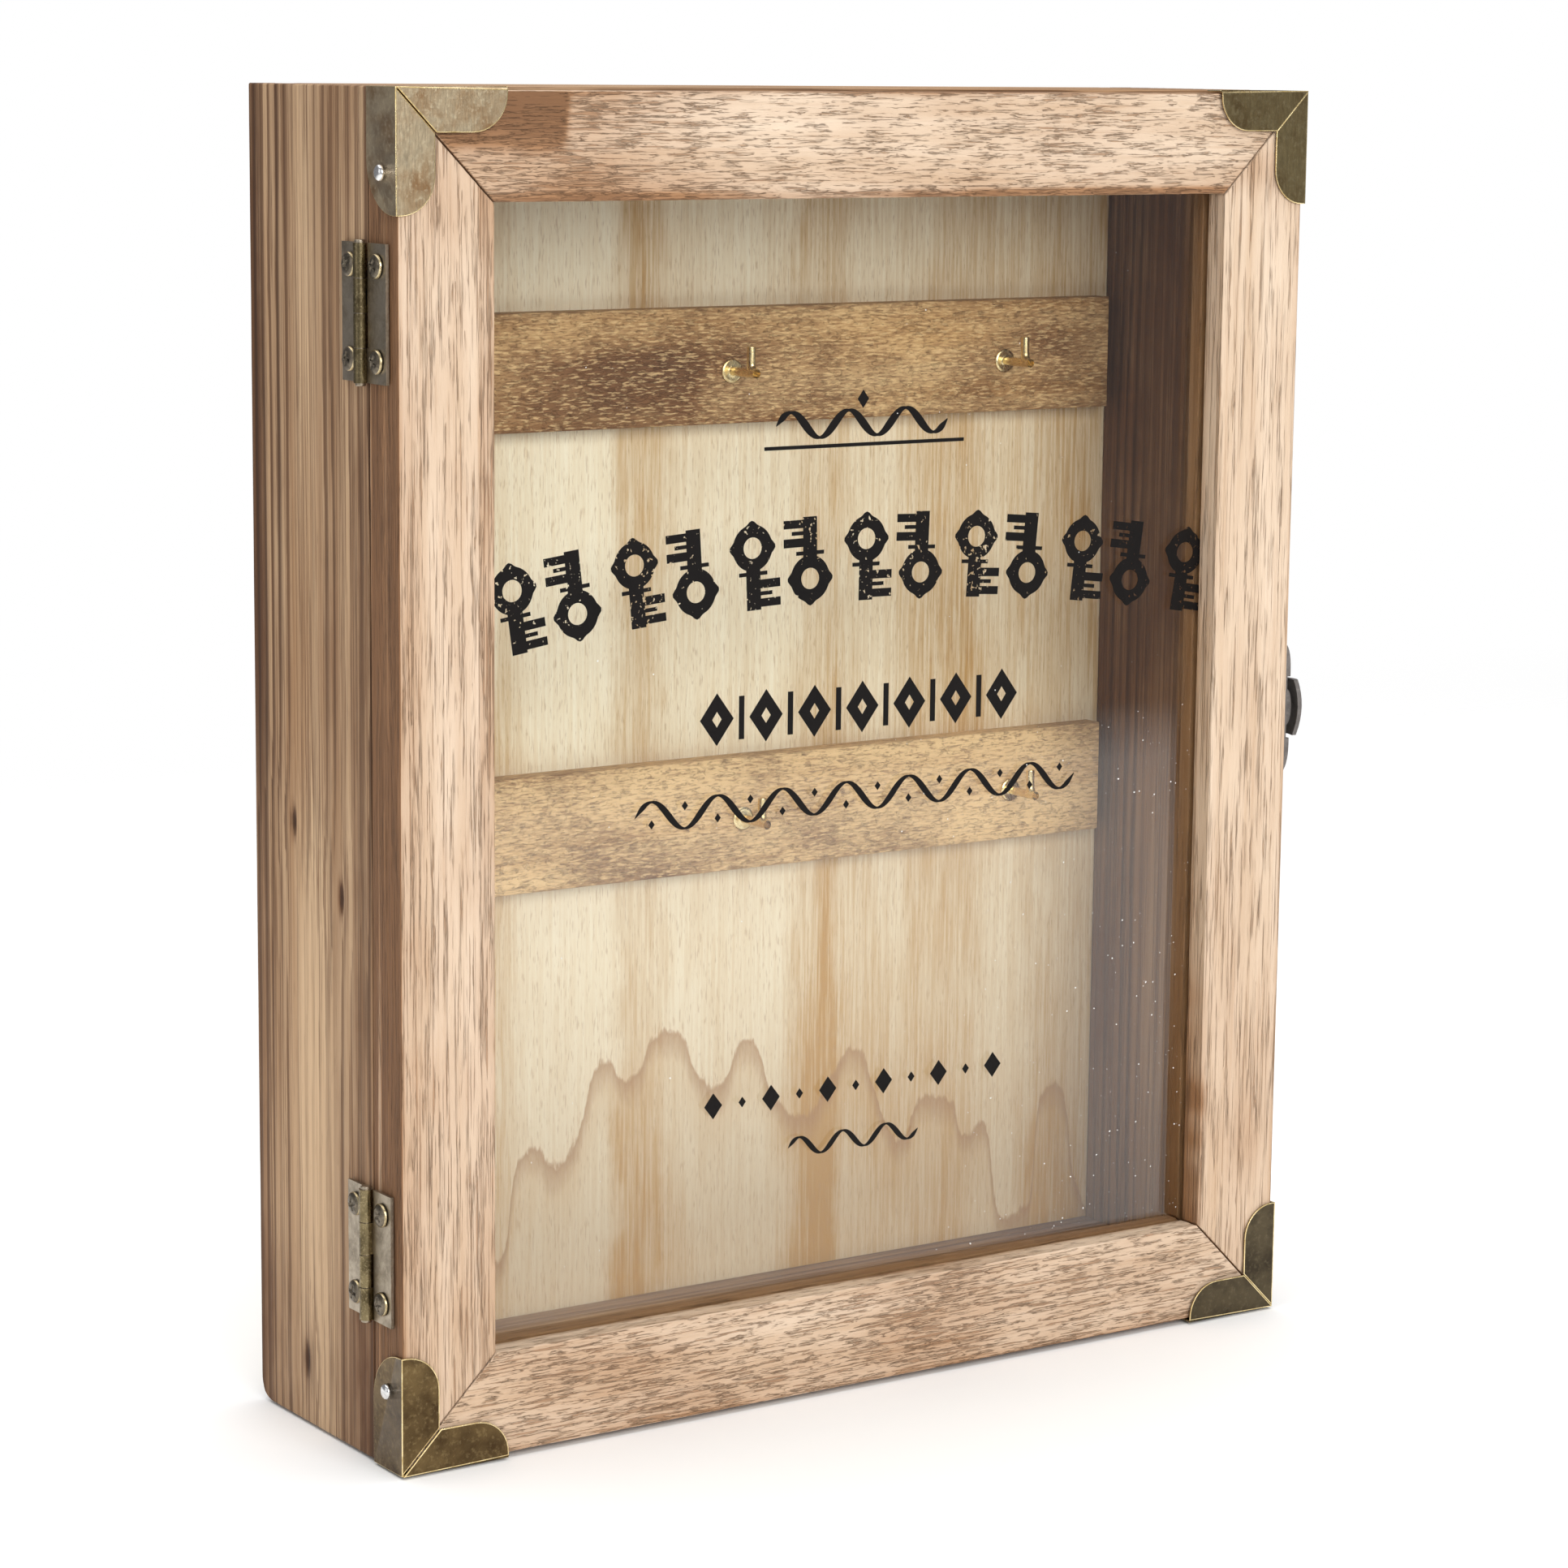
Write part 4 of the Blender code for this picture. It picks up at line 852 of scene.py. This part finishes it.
def pale_grain(name, light, dark, rough=0.6):
    finish, tree, shader = new_finish(name)
    specks = grain_noise(tree, (900, 900, 900), 3.0)
    feed(tree, shader, Base__Color=mix_colours(tree, specks, dark, light))
    feed(tree, shader, Roughness=spread(tree, specks, 0.3, 0.7, rough - 0.1, rough + 0.1))
    roughen(tree, shader, specks, 0.03 * MM)
    return finish


glass_low, glass_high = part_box("glass_pane")
pane = block("glass_sheet", glass_low, glass_high)
ease_edges(pane, 0.2 * MM)
hand_over(pane, clear_glass(), "clear_glass", "door", "glass_pane")


def scattered(number, seed):
    """A repeatable number between 0 and 1."""
    return (math.sin(number * 12.9898 + seed * 78.233) * 43758.5453) % 1.0


def join_up(pieces, name):
    clear_bench()
    for piece in pieces:
        piece.select_set(True)
    bpy.context.view_layer.objects.active = pieces[0]
    bpy.ops.object.join()
    joined = bpy.context.object
    joined.name = name
    return joined


clear_bench()
bpy.ops.mesh.primitive_ico_sphere_add(subdivisions=1, radius=1.0)
mote = bpy.context.object
flakes = []
for number in range(DUST_COUNT):
    reach = scattered(number, 1) ** 0.6
    x = 0.015 + 0.079 * reach if number % 4 else -0.085 + 0.17 * scattered(number, 6)
    z = 0.026 + 0.12 * scattered(number, 2) ** 1.4 if number % 4 else 0.03 + 0.22 * scattered(number, 7)
    size = (0.06 + 0.13 * scattered(number, 3) ** 3) * MM
    flake = mote.copy()
    flake.data = mote.data.copy()
    bpy.context.scene.collection.objects.link(flake)
    flake.location = (x, glass_low.y - 0.25 * size, z)
    flake.scale = (size * (0.7 + 0.9 * scattered(number, 4)), 0.3 * size, size)
    flake.rotation_euler = (0, 6.3 * scattered(number, 5), 0)
    flakes.append(flake)
bpy.data.objects.remove(mote)
dust = join_up(flakes, "glass_dust")
settle(dust)
hand_over(dust, pale_grain("dust", (0.95, 0.94, 0.92), (0.75, 0.74, 0.72), 0.8), "clear_glass", "door")


# Printed ornament: a black screen print on the face of the glass, worn into chips. Rows of old keys
# along a shallow arch, with rules, lozenges and running waves above and below.
INK = 0.03 * MM  # thickness of the print
INK_Y = glass_low.y - 0.01 * MM
ARCH_RADIUS = 560 * MM
ARCH_TOP = 184.8 * MM
ARCH_MIDDLE = -4 * MM
KEY_TALL = 19.0 * MM
KEYS = 13
FIRST_KEY = -86.4 * MM
KEY_PITCH = 14.7 * MM


def printing_ink(name, chipped):
    """Black ink, with chips missing where it has flaked off."""
    finish, tree, shader = new_finish(name)
    chips = grain_noise(tree, (900, 900, 900), 3.0, 0.6, 0.3)
    areas = grain_noise(tree, (80, 80, 80), 2.0, 0.5)
    feed(tree, shader, Base__Color=mix_colours(tree, areas, (0.004, 0.0035, 0.0035), (0.010, 0.008, 0.0075)))
    feed(tree, shader, Roughness=spread(tree, chips, 0.3, 0.7, 0.5, 0.7), Specular__IOR__Level=0.12)
    if chipped:
        worn = sums(tree, "ADD", chips, sums(tree, "MULTIPLY", areas, 0.34))
        feed(tree, shader, Alpha=sums(tree, "LESS_THAN", worn, 0.815))
    return finish


def printed(name, outlines, finish):
    """Flat shapes of closed (x, z) outlines, where one inside another is a hole, laid on the glass."""
    clear_bench()
    drawing = bpy.data.curves.new(name, "CURVE")
    drawing.dimensions = "2D"
    drawing.fill_mode = "BOTH"
    drawing.extrude = INK / 2
    for outline in outlines:
        spline = drawing.splines.new("POLY")
        spline.points.add(len(outline) - 1)
        for point, (x, z) in zip(spline.points, outline):
            point.co = (x, z, 0, 1)
        spline.use_cyclic_u = True
    piece = bpy.data.objects.new(name, drawing)
    bpy.context.scene.collection.objects.link(piece)
    take(piece)
    bpy.ops.object.convert(target="MESH")
    piece = bpy.context.object
    piece.rotation_euler = (math.pi / 2, 0, 0)
    piece.location = (0, INK_Y - INK / 2, 0)
    settle(piece)
    weld_up(piece, 0.002 * MM)
    hand_over(piece, finish, "clear_glass", "door")


def lozenge(x, z, half_wide, half_tall):
    return [(x - half_wide, z), (x, z - half_tall), (x + half_wide, z), (x, z + half_tall)]


def bar(x0, z0, x1, z1):
    return [(x0, z0), (x1, z0), (x1, z1), (x0, z1)]


def old_key(tall):
    """An old key standing on its bit: the outline of bow, stem, collar and bit, then the bow's hole."""
    half, stem, bow = tall / 2, 0.095 * tall, 0.265 * tall
    centre = half - bow - 0.03 * tall
    foot = math.asin(stem / bow)
    above, below = -0.065 * tall, -0.11 * tall
    outline = [(stem, above), (2 * stem, above), (2 * stem, below), (stem, below)]
    for low, high, reach in ((0.26, 0.16, 0.36), (0.34, 0.295, 0.25), (0.47, 0.375, 0.36)):
        outline += [(stem, -high * tall), (reach * tall, -high * tall)]
        outline += [(reach * tall, -low * tall), (stem, -low * tall)]
    outline += [(stem, -half), (-stem, -half), (-stem, below), (-2 * stem, below), (-2 * stem, above)]
    outline.append((-stem, above))
    for step in range(49):
        turn = -math.pi / 2 - foot - (2 * math.pi - 2 * foot) * step / 48
        lobe = 1 + 0.17 * max(0.0, math.cos(4 * (turn - math.pi / 2))) ** 3 * (math.sin(turn) > -0.5)
        outline.append((bow * lobe * math.cos(turn), centre + bow * lobe * math.sin(turn)))
    hole = []
    for step in range(24):
        turn = 0.2618 * step
        hole.append((0.46 * bow * math.cos(turn), centre + 0.46 * bow * math.sin(turn)))
    return [outline, hole]


def running_wave(start, end, middle, height, turns, thick):
    """One closed outline of a wave that swells on its slopes and thins at its crests."""
    steps = 32 * turns
    upper = []
    lower = []
    for step in range(steps + 1):
        t = step / steps
        angle = 2 * math.pi * turns * t
        x = start + (end - start) * t
        z = middle + height / 2 * math.sin(angle)
        slope = math.pi * turns * height / (end - start) * math.cos(angle)
        run = math.hypot(1, slope)
        ends = min(1.0, 8 * turns * t + 0.1, 8 * turns * (1 - t) + 0.1)
        half = thick / 2 * (0.3 + 0.7 * abs(math.cos(angle))) * ends
        upper.append((x - half * slope / run, z + half / run))
        lower.append((x + half * slope / run, z - half / run))
    return upper + lower[::-1]


key_outlines = []
for number in range(KEYS):
    x = FIRST_KEY + number * KEY_PITCH
    lean = (x - ARCH_MIDDLE) / ARCH_RADIUS
    middle = ARCH_TOP - ARCH_RADIUS * (1 - math.cos(lean))
    way = 1 if number % 2 == 0 else -1
    for part in old_key(KEY_TALL):
        spots = [(px * way, pz * way) for px, pz in part]
        key_outlines.append([(x + px * math.cos(lean) + pz * math.sin(lean),
                              middle + pz * math.cos(lean) - px * math.sin(lean)) for px, pz in spots])
printed("printed_key_row", key_outlines, printing_ink("chipped black ink", True))

scrolls = [bar(-25 * MM, 208.8 * MM, 27.5 * MM, 209.6 * MM),
           lozenge(0.5 * MM, 219.0 * MM, 1.5 * MM, 2.0 * MM),
           running_wave(-22 * MM, 23 * MM, 213.9 * MM, 5.6 * MM, 3, 1.9 * MM),
           running_wave(-57 * MM, 60 * MM, 132.3 * MM, 6.4 * MM, 7, 1.5 * MM),
           running_wave(-17 * MM, 18 * MM, 55.2 * MM, 4.2 * MM, 3, 1.3 * MM)]
for turn in range(14):
    x = (-57 + 117 * (turn + 0.5) / 14) * MM
    scrolls.append(lozenge(x, (130.6 if turn % 2 == 0 else 134.0) * MM, 0.8 * MM, 1.0 * MM))
for number in range(7):
    x = (-36.5 + 12.6 * number) * MM
    scrolls += [lozenge(x, 151.9 * MM, 4.3 * MM, 5.7 * MM), lozenge(x, 151.9 * MM, 1.2 * MM, 1.7 * MM)]
    if number < 6:
        scrolls += [bar(x + 5.6 * MM, 147.2 * MM, x + 7.0 * MM, 156.6 * MM)]
for number in range(11):
    tall = (2.9 if number % 2 == 0 else 1.2) * MM
    scrolls.append(lozenge((-36.7 + 7.52 * number) * MM, 67.2 * MM, 0.8 * tall, tall))
printed("printed_rules_and_waves", scrolls, printing_ink("fine black ink", False))


# Door corners: stamped from brass sheet, two petals on the face and a flange round each side, browned
# in a bath and then rubbed, so that folds and rims shine. The petals meet in an open mitre.
SHEET = 0.4 * MM
PETAL = 9.0 * MM  # width
SEAM = 0.14 * MM  # each petal stands back this far from the mitre
RIM = 0.25 * MM  # rubbed border of a petal
STRAIGHT = 1.1 * MM  # left straight at the end of a leaf, beside its round
WELD = 0.02 * MM  # points closer than this are one
# Painted light: each corner has its own copy of the browned brass. The top left carries a painted highlight,
# the lower corners painted shade, deepest at the bottom right.
browned = {"bottom_left": metal_finish("browned brass, painted shade", (0.165, 0.112, 0.05), (0.075, 0.047, 0.022),
                                       (0.34, 0.25, 0.12), rough=0.32, patch=120, wear=0.4),
           "bottom_right": metal_finish("browned brass, deepest painted shade", (0.10, 0.079, 0.048), (0.055, 0.043, 0.028),
                                        (0.22, 0.18, 0.11), rough=0.32, patch=120, wear=0.3),
           "top_left": metal_finish("browned brass, painted highlight", (0.68, 0.55, 0.36), (0.33, 0.20, 0.10),
                                    (0.92, 0.80, 0.56), rough=0.34, patch=120, wear=0.5),
           "top_right": metal_finish("browned brass", (0.36, 0.28, 0.14), (0.17, 0.12, 0.055),
                                     (0.5, 0.42, 0.25), rough=0.33, patch=120, wear=0.4)}
rubbed = metal_finish("rubbed brass rim", (1.0, 0.82, 0.45), (0.62, 0.46, 0.2), (1.0, 0.92, 0.66),
                      rough=0.25, patch=300, wear=0.5)


def brass_leaf(first, second, long, short, radius):
    """A flat leaf from the origin along two directions, with its far corner rounded."""
    clear_bench()
    bpy.ops.mesh.primitive_plane_add(size=1, location=(0.5, 0.5, 0))
    leaf = bpy.context.object
    settle(leaf)
    first, second = Vector(first), Vector(second)
    columns = (first * long, second * short, first.cross(second))
    leaf.matrix_world = Matrix([[columns[c][r] for c in range(3)] for r in range(3)]).to_4x4()
    settle(leaf)
    far = first * long + second * short
    shape = open_up(leaf, "VERT")
    for vertex in shape.verts:
        vertex.select_set((vertex.co - far).length < WELD)
    bpy.ops.mesh.bevel(affect="VERTICES", offset=radius - STRAIGHT, segments=10)
    close_up()
    return leaf


def stamped_corner(name, node, finish):
    """A whole corner as if at the lower left, then carried and mirrored to its own corner."""
    low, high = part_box(node)
    side = -1 if low.x < 0 else 1
    end = -1 if low.z < MID_HEIGHT else 1
    leg = high.x - low.x
    depth = high.y - low.y
    along_x, back, up = (1, 0, 0), (0, 1, 0), (0, 0, 1)
    leaves = []
    for first, second, way in ((along_x, up, 1), (up, along_x, -1)):
        petal = brass_leaf(first, second, leg, PETAL, PETAL)
        open_up(petal)
        bpy.ops.mesh.select_all(action="SELECT")
        bpy.ops.mesh.bisect(plane_co=Vector(first) * SEAM, plane_no=(-way, 0, way), clear_outer=True)
        close_up()
        leaves += [petal, brass_leaf(first, back, leg, depth, depth)]
    piece = join_up(leaves, name)
    weld_up(piece, WELD)
    front = min(piece.data.polygons, key=lambda polygon: polygon.center.y)
    if front.normal.y > 0:
        piece.data.flip_normals()
    solid = piece.modifiers.new("sheet", "SOLIDIFY")
    solid.thickness = SHEET
    solid.offset = -1
    solid.use_even_offset = True
    use_modifiers(piece)
    piece.data.materials.append(finish)
    piece.data.materials.append(rubbed)
    pick_faces(piece, lambda middle, out: out.y < -0.9 and middle.y < 0.05 * MM)
    bpy.ops.mesh.inset(thickness=RIM, depth=0.0, use_individual=False)
    close_up()
    for polygon in piece.data.polygons:
        on_face = polygon.normal.y < -0.9 and polygon.center.y < 0.05 * MM
        polygon.material_index = 1 if on_face and polygon.area < 0.2 * PETAL * PETAL else 0
    ease_edges(piece, 0.13 * MM, 2, 30, 1)
    piece.location = (low.x if side < 0 else high.x, low.y, low.z if end < 0 else high.z)
    piece.scale = (-side, 1, -end)
    settle(piece)
    open_up(piece)
    bpy.ops.mesh.select_all(action="SELECT")
    bpy.ops.mesh.normals_make_consistent(inside=False)
    close_up()
    smooth_over(piece, 30)
    return piece


for name in ("bottom_left", "bottom_right", "top_left", "top_right"):
    corner = stamped_corner(f"{name}_brass_corner", f"{name}_corner", browned[name])
    hand_over(corner, browned[name], "antique_brass", "door", f"{name}_corner")


# Nails: bright round-headed steel pins, one driven through each corner's side flange into the edge of
# the door.
SHANK_LENGTH = 2.5 * MM  # below the head, all of it inside the wood


def domed_head(name, radius, rise, shank):
    """A round head with its shank, standing on +Z with its underside at the origin."""
    clear_bench()
    bpy.ops.mesh.primitive_cylinder_add(
        vertices=32, radius=radius, depth=0.25 * rise, location=(0, 0, 0.125 * rise))
    head = bpy.context.object
    head.name = name
    settle(head)
    pick_faces(head, lambda middle, out: out.z > 0.9)
    for lift, share in ((0.22, 0.94), (0.20, 0.87), (0.17, 0.78), (0.11, 0.64), (0.05, 0.4)):
        push((0, 0, lift * rise))
        swell(share)
    close_up()
    pick_faces(head, lambda middle, out: out.z < -0.9)
    bpy.ops.mesh.inset(thickness=radius - shank, depth=0.0)
    push((0, 0, -SHANK_LENGTH))
    close_up()
    smooth_over(head, 50)
    return head


def copy_to(model, name, place, turn):
    clear_bench()
    made = model.copy()
    made.data = model.data.copy()
    made.name = name
    bpy.context.scene.collection.objects.link(made)
    made.matrix_world = Matrix.Translation(place) @ turn.to_4x4()
    settle(made)
    return made


def facing(out, spin=0.0, tilt=0.0):
    """The turn that points +Z along out, after a spin round it and a small tilt."""
    upright = Vector(out).to_track_quat("Z", "Y").to_matrix()
    return upright @ Matrix.Rotation(tilt, 3, "X") @ Matrix.Rotation(spin, 3, "Z")


steel = metal_finish("bright steel", (0.86, 0.86, 0.85), (0.66, 0.66, 0.66), (1.0, 1.0, 1.0),
                     rough=0.2, pits=0.01)
nail_model = domed_head("nail_model", 1.65 * MM, 1.0 * MM, 0.55 * MM)
nails = [(f"{end}_{side}_corner_side_nail", -1 if side == "left" else 1)
         for end in ("bottom", "top") for side in ("left", "right")]
for node, side in nails:
    low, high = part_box(node)
    middle = (low + high) / 2
    foot = low.x + 1.0 * MM if side < 0 else high.x - 1.0 * MM
    nail = copy_to(nail_model, f"{node}_head", (foot, middle.y, middle.z), facing((side, 0, 0)))
    hand_over(nail, steel, "bright_steel", "door", node)
bpy.data.objects.remove(nail_model)


# Screws: pan-head screws with a cross recess, darkened like the hinges, their rims rubbed bright.
# Four hold each hinge and two each half of the latch; no two were driven quite alike.
def cross_head(name, radius, rise, shank, finish):
    head = domed_head(name, radius, rise, shank)
    clear_bench()
    cutters = []
    for angle in (0, math.pi / 2):
        bpy.ops.mesh.primitive_cube_add(size=1, location=(0, 0, rise), rotation=(0, 0, angle))
        limb = bpy.context.object
        limb.scale = (1.15 * radius, 0.27 * radius, 1.1 * rise)
        settle(limb)
        cutters.append(limb)
    for limb in cutters:
        cut = head.modifiers.new("cross", "BOOLEAN")
        cut.operation = "DIFFERENCE"
        cut.solver = "EXACT"
        cut.object = limb
    use_modifiers(head)
    for limb in cutters:
        bpy.data.objects.remove(limb)
    head.data.materials.append(finish)
    head.data.materials.append(rubbed_bronze)
    shape = open_up(head)
    for polygon in shape.faces:
        rim = 0.05 * rise < polygon.calc_center_median().z < 0.42 * rise and abs(polygon.normal.z) < 0.85
        polygon.material_index = 1 if rim else 0
    bmesh.update_edit_mesh(head.data)
    close_up()
    smooth_over(head, 40)
    return head


bronze = metal_finish("hinge bronze", (0.41, 0.35, 0.27), (0.24, 0.198, 0.146), (0.58, 0.50, 0.36),
                      rough=0.36, patch=200, wear=0.35)
rubbed_bronze = metal_finish("rubbed bronze", (0.66, 0.54, 0.32), (0.28, 0.22, 0.12), (0.95, 0.84, 0.55),
                             rough=0.26, patch=500, wear=0.5)
screw_bronze = metal_finish("screw bronze", (0.19, 0.16, 0.12), (0.09, 0.075, 0.055), (0.5, 0.42, 0.3),
                            rough=0.3, patch=600, wear=0.4)
hinge_screw = cross_head("hinge_screw_model", 2.5 * MM, 1.05 * MM, 1.0 * MM, screw_bronze)
number = 0
for level in ("lower", "upper"):
    for owner in ("box", "door"):
        for place in ("lower", "upper"):
            node = f"{level}_hinge_{owner}_{place}_screw"
            low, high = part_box(node)
            middle = (low + high) / 2
            tilt = math.radians(5) * (scattered(number, 22) - 0.3)
            turn = facing((-1, 0, 0), 6.3 * scattered(number, 21), tilt)
            screw = copy_to(hinge_screw, f"{node}_head", (low.x + 1.1 * MM, middle.y, middle.z), turn)
            hand_over(screw, screw_bronze, "hinge_bronze", owner, node)
            number += 1
bpy.data.objects.remove(hinge_screw)


# Hinges: two small butt hinges of bronzed sheet. Each leaf has two of the four knuckles that turn on
# a peened pin; one leaf lies on the box's side and the other on the door's edge.
LEAF = 0.7 * MM  # thickness
BARREL = 1.45 * MM  # radius
barrel_bronze = metal_finish("barrel bronze", (0.215, 0.17, 0.09), (0.10, 0.077, 0.04), (0.55, 0.45, 0.26),
                             rough=0.26, patch=260, wear=0.45)


def cylinder(radius, low_z, high_z, x, y, vertices=40):
    clear_bench()
    bpy.ops.mesh.primitive_cylinder_add(
        vertices=vertices, radius=radius, depth=high_z - low_z, location=(x, y, (low_z + high_z) / 2))
    made = bpy.context.object
    settle(made)
    return made


def weld_on(piece, tools):
    """Joins solid tools to a piece for good, each as its own union."""
    for tool in tools:
        joint = piece.modifiers.new("weld", "BOOLEAN")
        joint.operation = "UNION"
        joint.solver = "EXACT"
        joint.object = tool
        use_modifiers(piece)
        bpy.data.objects.remove(tool)


def hinge_leaf(name, node, owner):
    low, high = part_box(node)
    side = 1 if owner == "box" else -1
    axis_y = low.y + BARREL if side > 0 else high.y - BARREL
    axis_x = low.x + BARREL
    near, far = axis_y + side * (BARREL + ROOM), (high.y if side > 0 else low.y)
    leaf = block(name, (high.x - LEAF, min(near, far), low.z), (high.x, max(near, far), high.z))
    step = (high.z - low.z) / 4
    tools = []
    for number in range(4):
        if (number % 2 == 0) == (side > 0):
            continue
        bottom, top = low.z + number * step + 0.1 * MM, low.z + (number + 1) * step - 0.1 * MM
        if number == 0:
            bottom = low.z
        if number == 3:
            top = high.z
        web_y = sorted((axis_y + side * 0.2 * MM, axis_y + side * (BARREL + ROOM + 0.5 * MM)))
        tools.append(block("web", (high.x - LEAF, web_y[0], bottom), (high.x - 0.02 * MM, web_y[1], top)))
        tools.append(cylinder(BARREL - 0.01 * MM, bottom, top, axis_x, axis_y))
    weld_on(leaf, tools)
    for finish in (bronze, barrel_bronze, rubbed_bronze):
        leaf.data.materials.append(finish)
    ease_edges(leaf, 0.12 * MM, 2, 40, 2)
    shape = open_up(leaf)
    for polygon in shape.faces:
        middle = polygon.calc_center_median()
        on_barrel = math.hypot(middle.x - axis_x, middle.y - axis_y) < BARREL + 0.05 * MM
        if on_barrel and abs(polygon.normal.z) < 0.5 and polygon.material_index == 0:
            polygon.material_index = 1
    bmesh.update_edit_mesh(leaf.data)
    close_up()
    smooth_over(leaf, 30)
    return leaf


for level in ("lower", "upper"):
    for owner in ("box", "door"):
        node = f"{level}_hinge_{owner}_leaf"
        leaf = hinge_leaf(f"{node}_plate", node, owner)
        hand_over(leaf, bronze, "hinge_bronze", owner, node)
    node = f"{level}_hinge_pin"
    low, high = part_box(node)
    middle = (low + high) / 2
    pin = cylinder(1.1 * MM, low.z, high.z, middle.x, middle.y, 28)
    pin.name = f"{node}_rod"
    ease_edges(pin, 0.25 * MM, 3)
    smooth_over(pin)
    hand_over(pin, bronze, "hinge_bronze", "box", node)


# Latch: a cast keeper on the door, a plate with two lugs on the box and an arched tongue between
# them, all nearly black. Its castings are soft-edged, with brown showing where hands have rubbed.
def softened(name, node, width, segments=3):
    """A welded copy of a node with its edges rounded over."""
    clear_bench()
    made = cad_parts[node].copy()
    made.data = made.data.copy()
    made.name = name
    made.parent = None
    for key in list(made.keys()):
        del made[key]
    bpy.context.scene.collection.objects.link(made)
    made.data.materials.clear()
    open_up(made)
    bpy.ops.mesh.select_all(action="SELECT")
    bpy.ops.mesh.remove_doubles(threshold=0.005 * MM)
    bpy.ops.mesh.select_all(action="SELECT")
    bpy.ops.mesh.dissolve_limited(angle_limit=math.radians(1))
    close_up()
    ease_edges(made, width, segments, 35)
    smooth_over(made, 45)
    return made


dark_bronze = metal_finish("blackened bronze", (0.20, 0.182, 0.173), (0.13, 0.117, 0.11), (0.40, 0.35, 0.31),
                           rough=0.36, patch=240, wear=0.3, bare=0.4)
latch_screw = cross_head("latch_screw_model", 1.7 * MM, 0.8 * MM, 0.7 * MM, dark_bronze)
for node, name, body, width in (
        ("latch_keeper", "latch_keeper_casting", "door", 0.18),
        ("latch_plate", "latch_hinge_plate", "box", 0.15),
        ("latch_tongue", "latch_arched_tongue", "latch_tongue_body", 0.16),
        ("latch_pin", "latch_pin_rod", "box", 0.12)):
    piece = softened(name, node, width * MM)
    hand_over(piece, dark_bronze, "dark_bronze", body, node)
for node, body in (("keeper_lower_screw", "door"), ("keeper_upper_screw", "door"),
                   ("latch_plate_lower_screw", "box"), ("latch_plate_upper_screw", "box")):
    low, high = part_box(node)
    middle = (low + high) / 2
    turn = facing((1, 0, 0), 6.3 * scattered(number, 21))
    screw = copy_to(latch_screw, f"{node}_head", (high.x - 0.8 * MM, middle.y, middle.z), turn)
    hand_over(screw, dark_bronze, "dark_bronze", body, node)
    number += 1
bpy.data.objects.remove(latch_screw)


# Wall hangers: two sawtooth strips of bright sheet steel, each held by two flat-headed nails through
# the back board into the top board.
hanger_steel = metal_finish("hanger steel", (0.66, 0.66, 0.66), (0.44, 0.44, 0.45), (0.85, 0.85, 0.84),
                            rough=0.34, patch=90)
for side in ("left", "right"):
    strip = softened(f"{side}_sawtooth_strip", f"{side}_wall_hanger", 0.08 * MM, 2)
    hand_over(strip, hanger_steel, "bright_steel", "box", f"{side}_wall_hanger")
    for end in ("left", "right"):
        node = f"{side}_hanger_{end}_nail"
        nail = softened(f"{node}_head", node, 0.06 * MM, 2)
        hand_over(nail, hanger_steel, "bright_steel", "box", node)
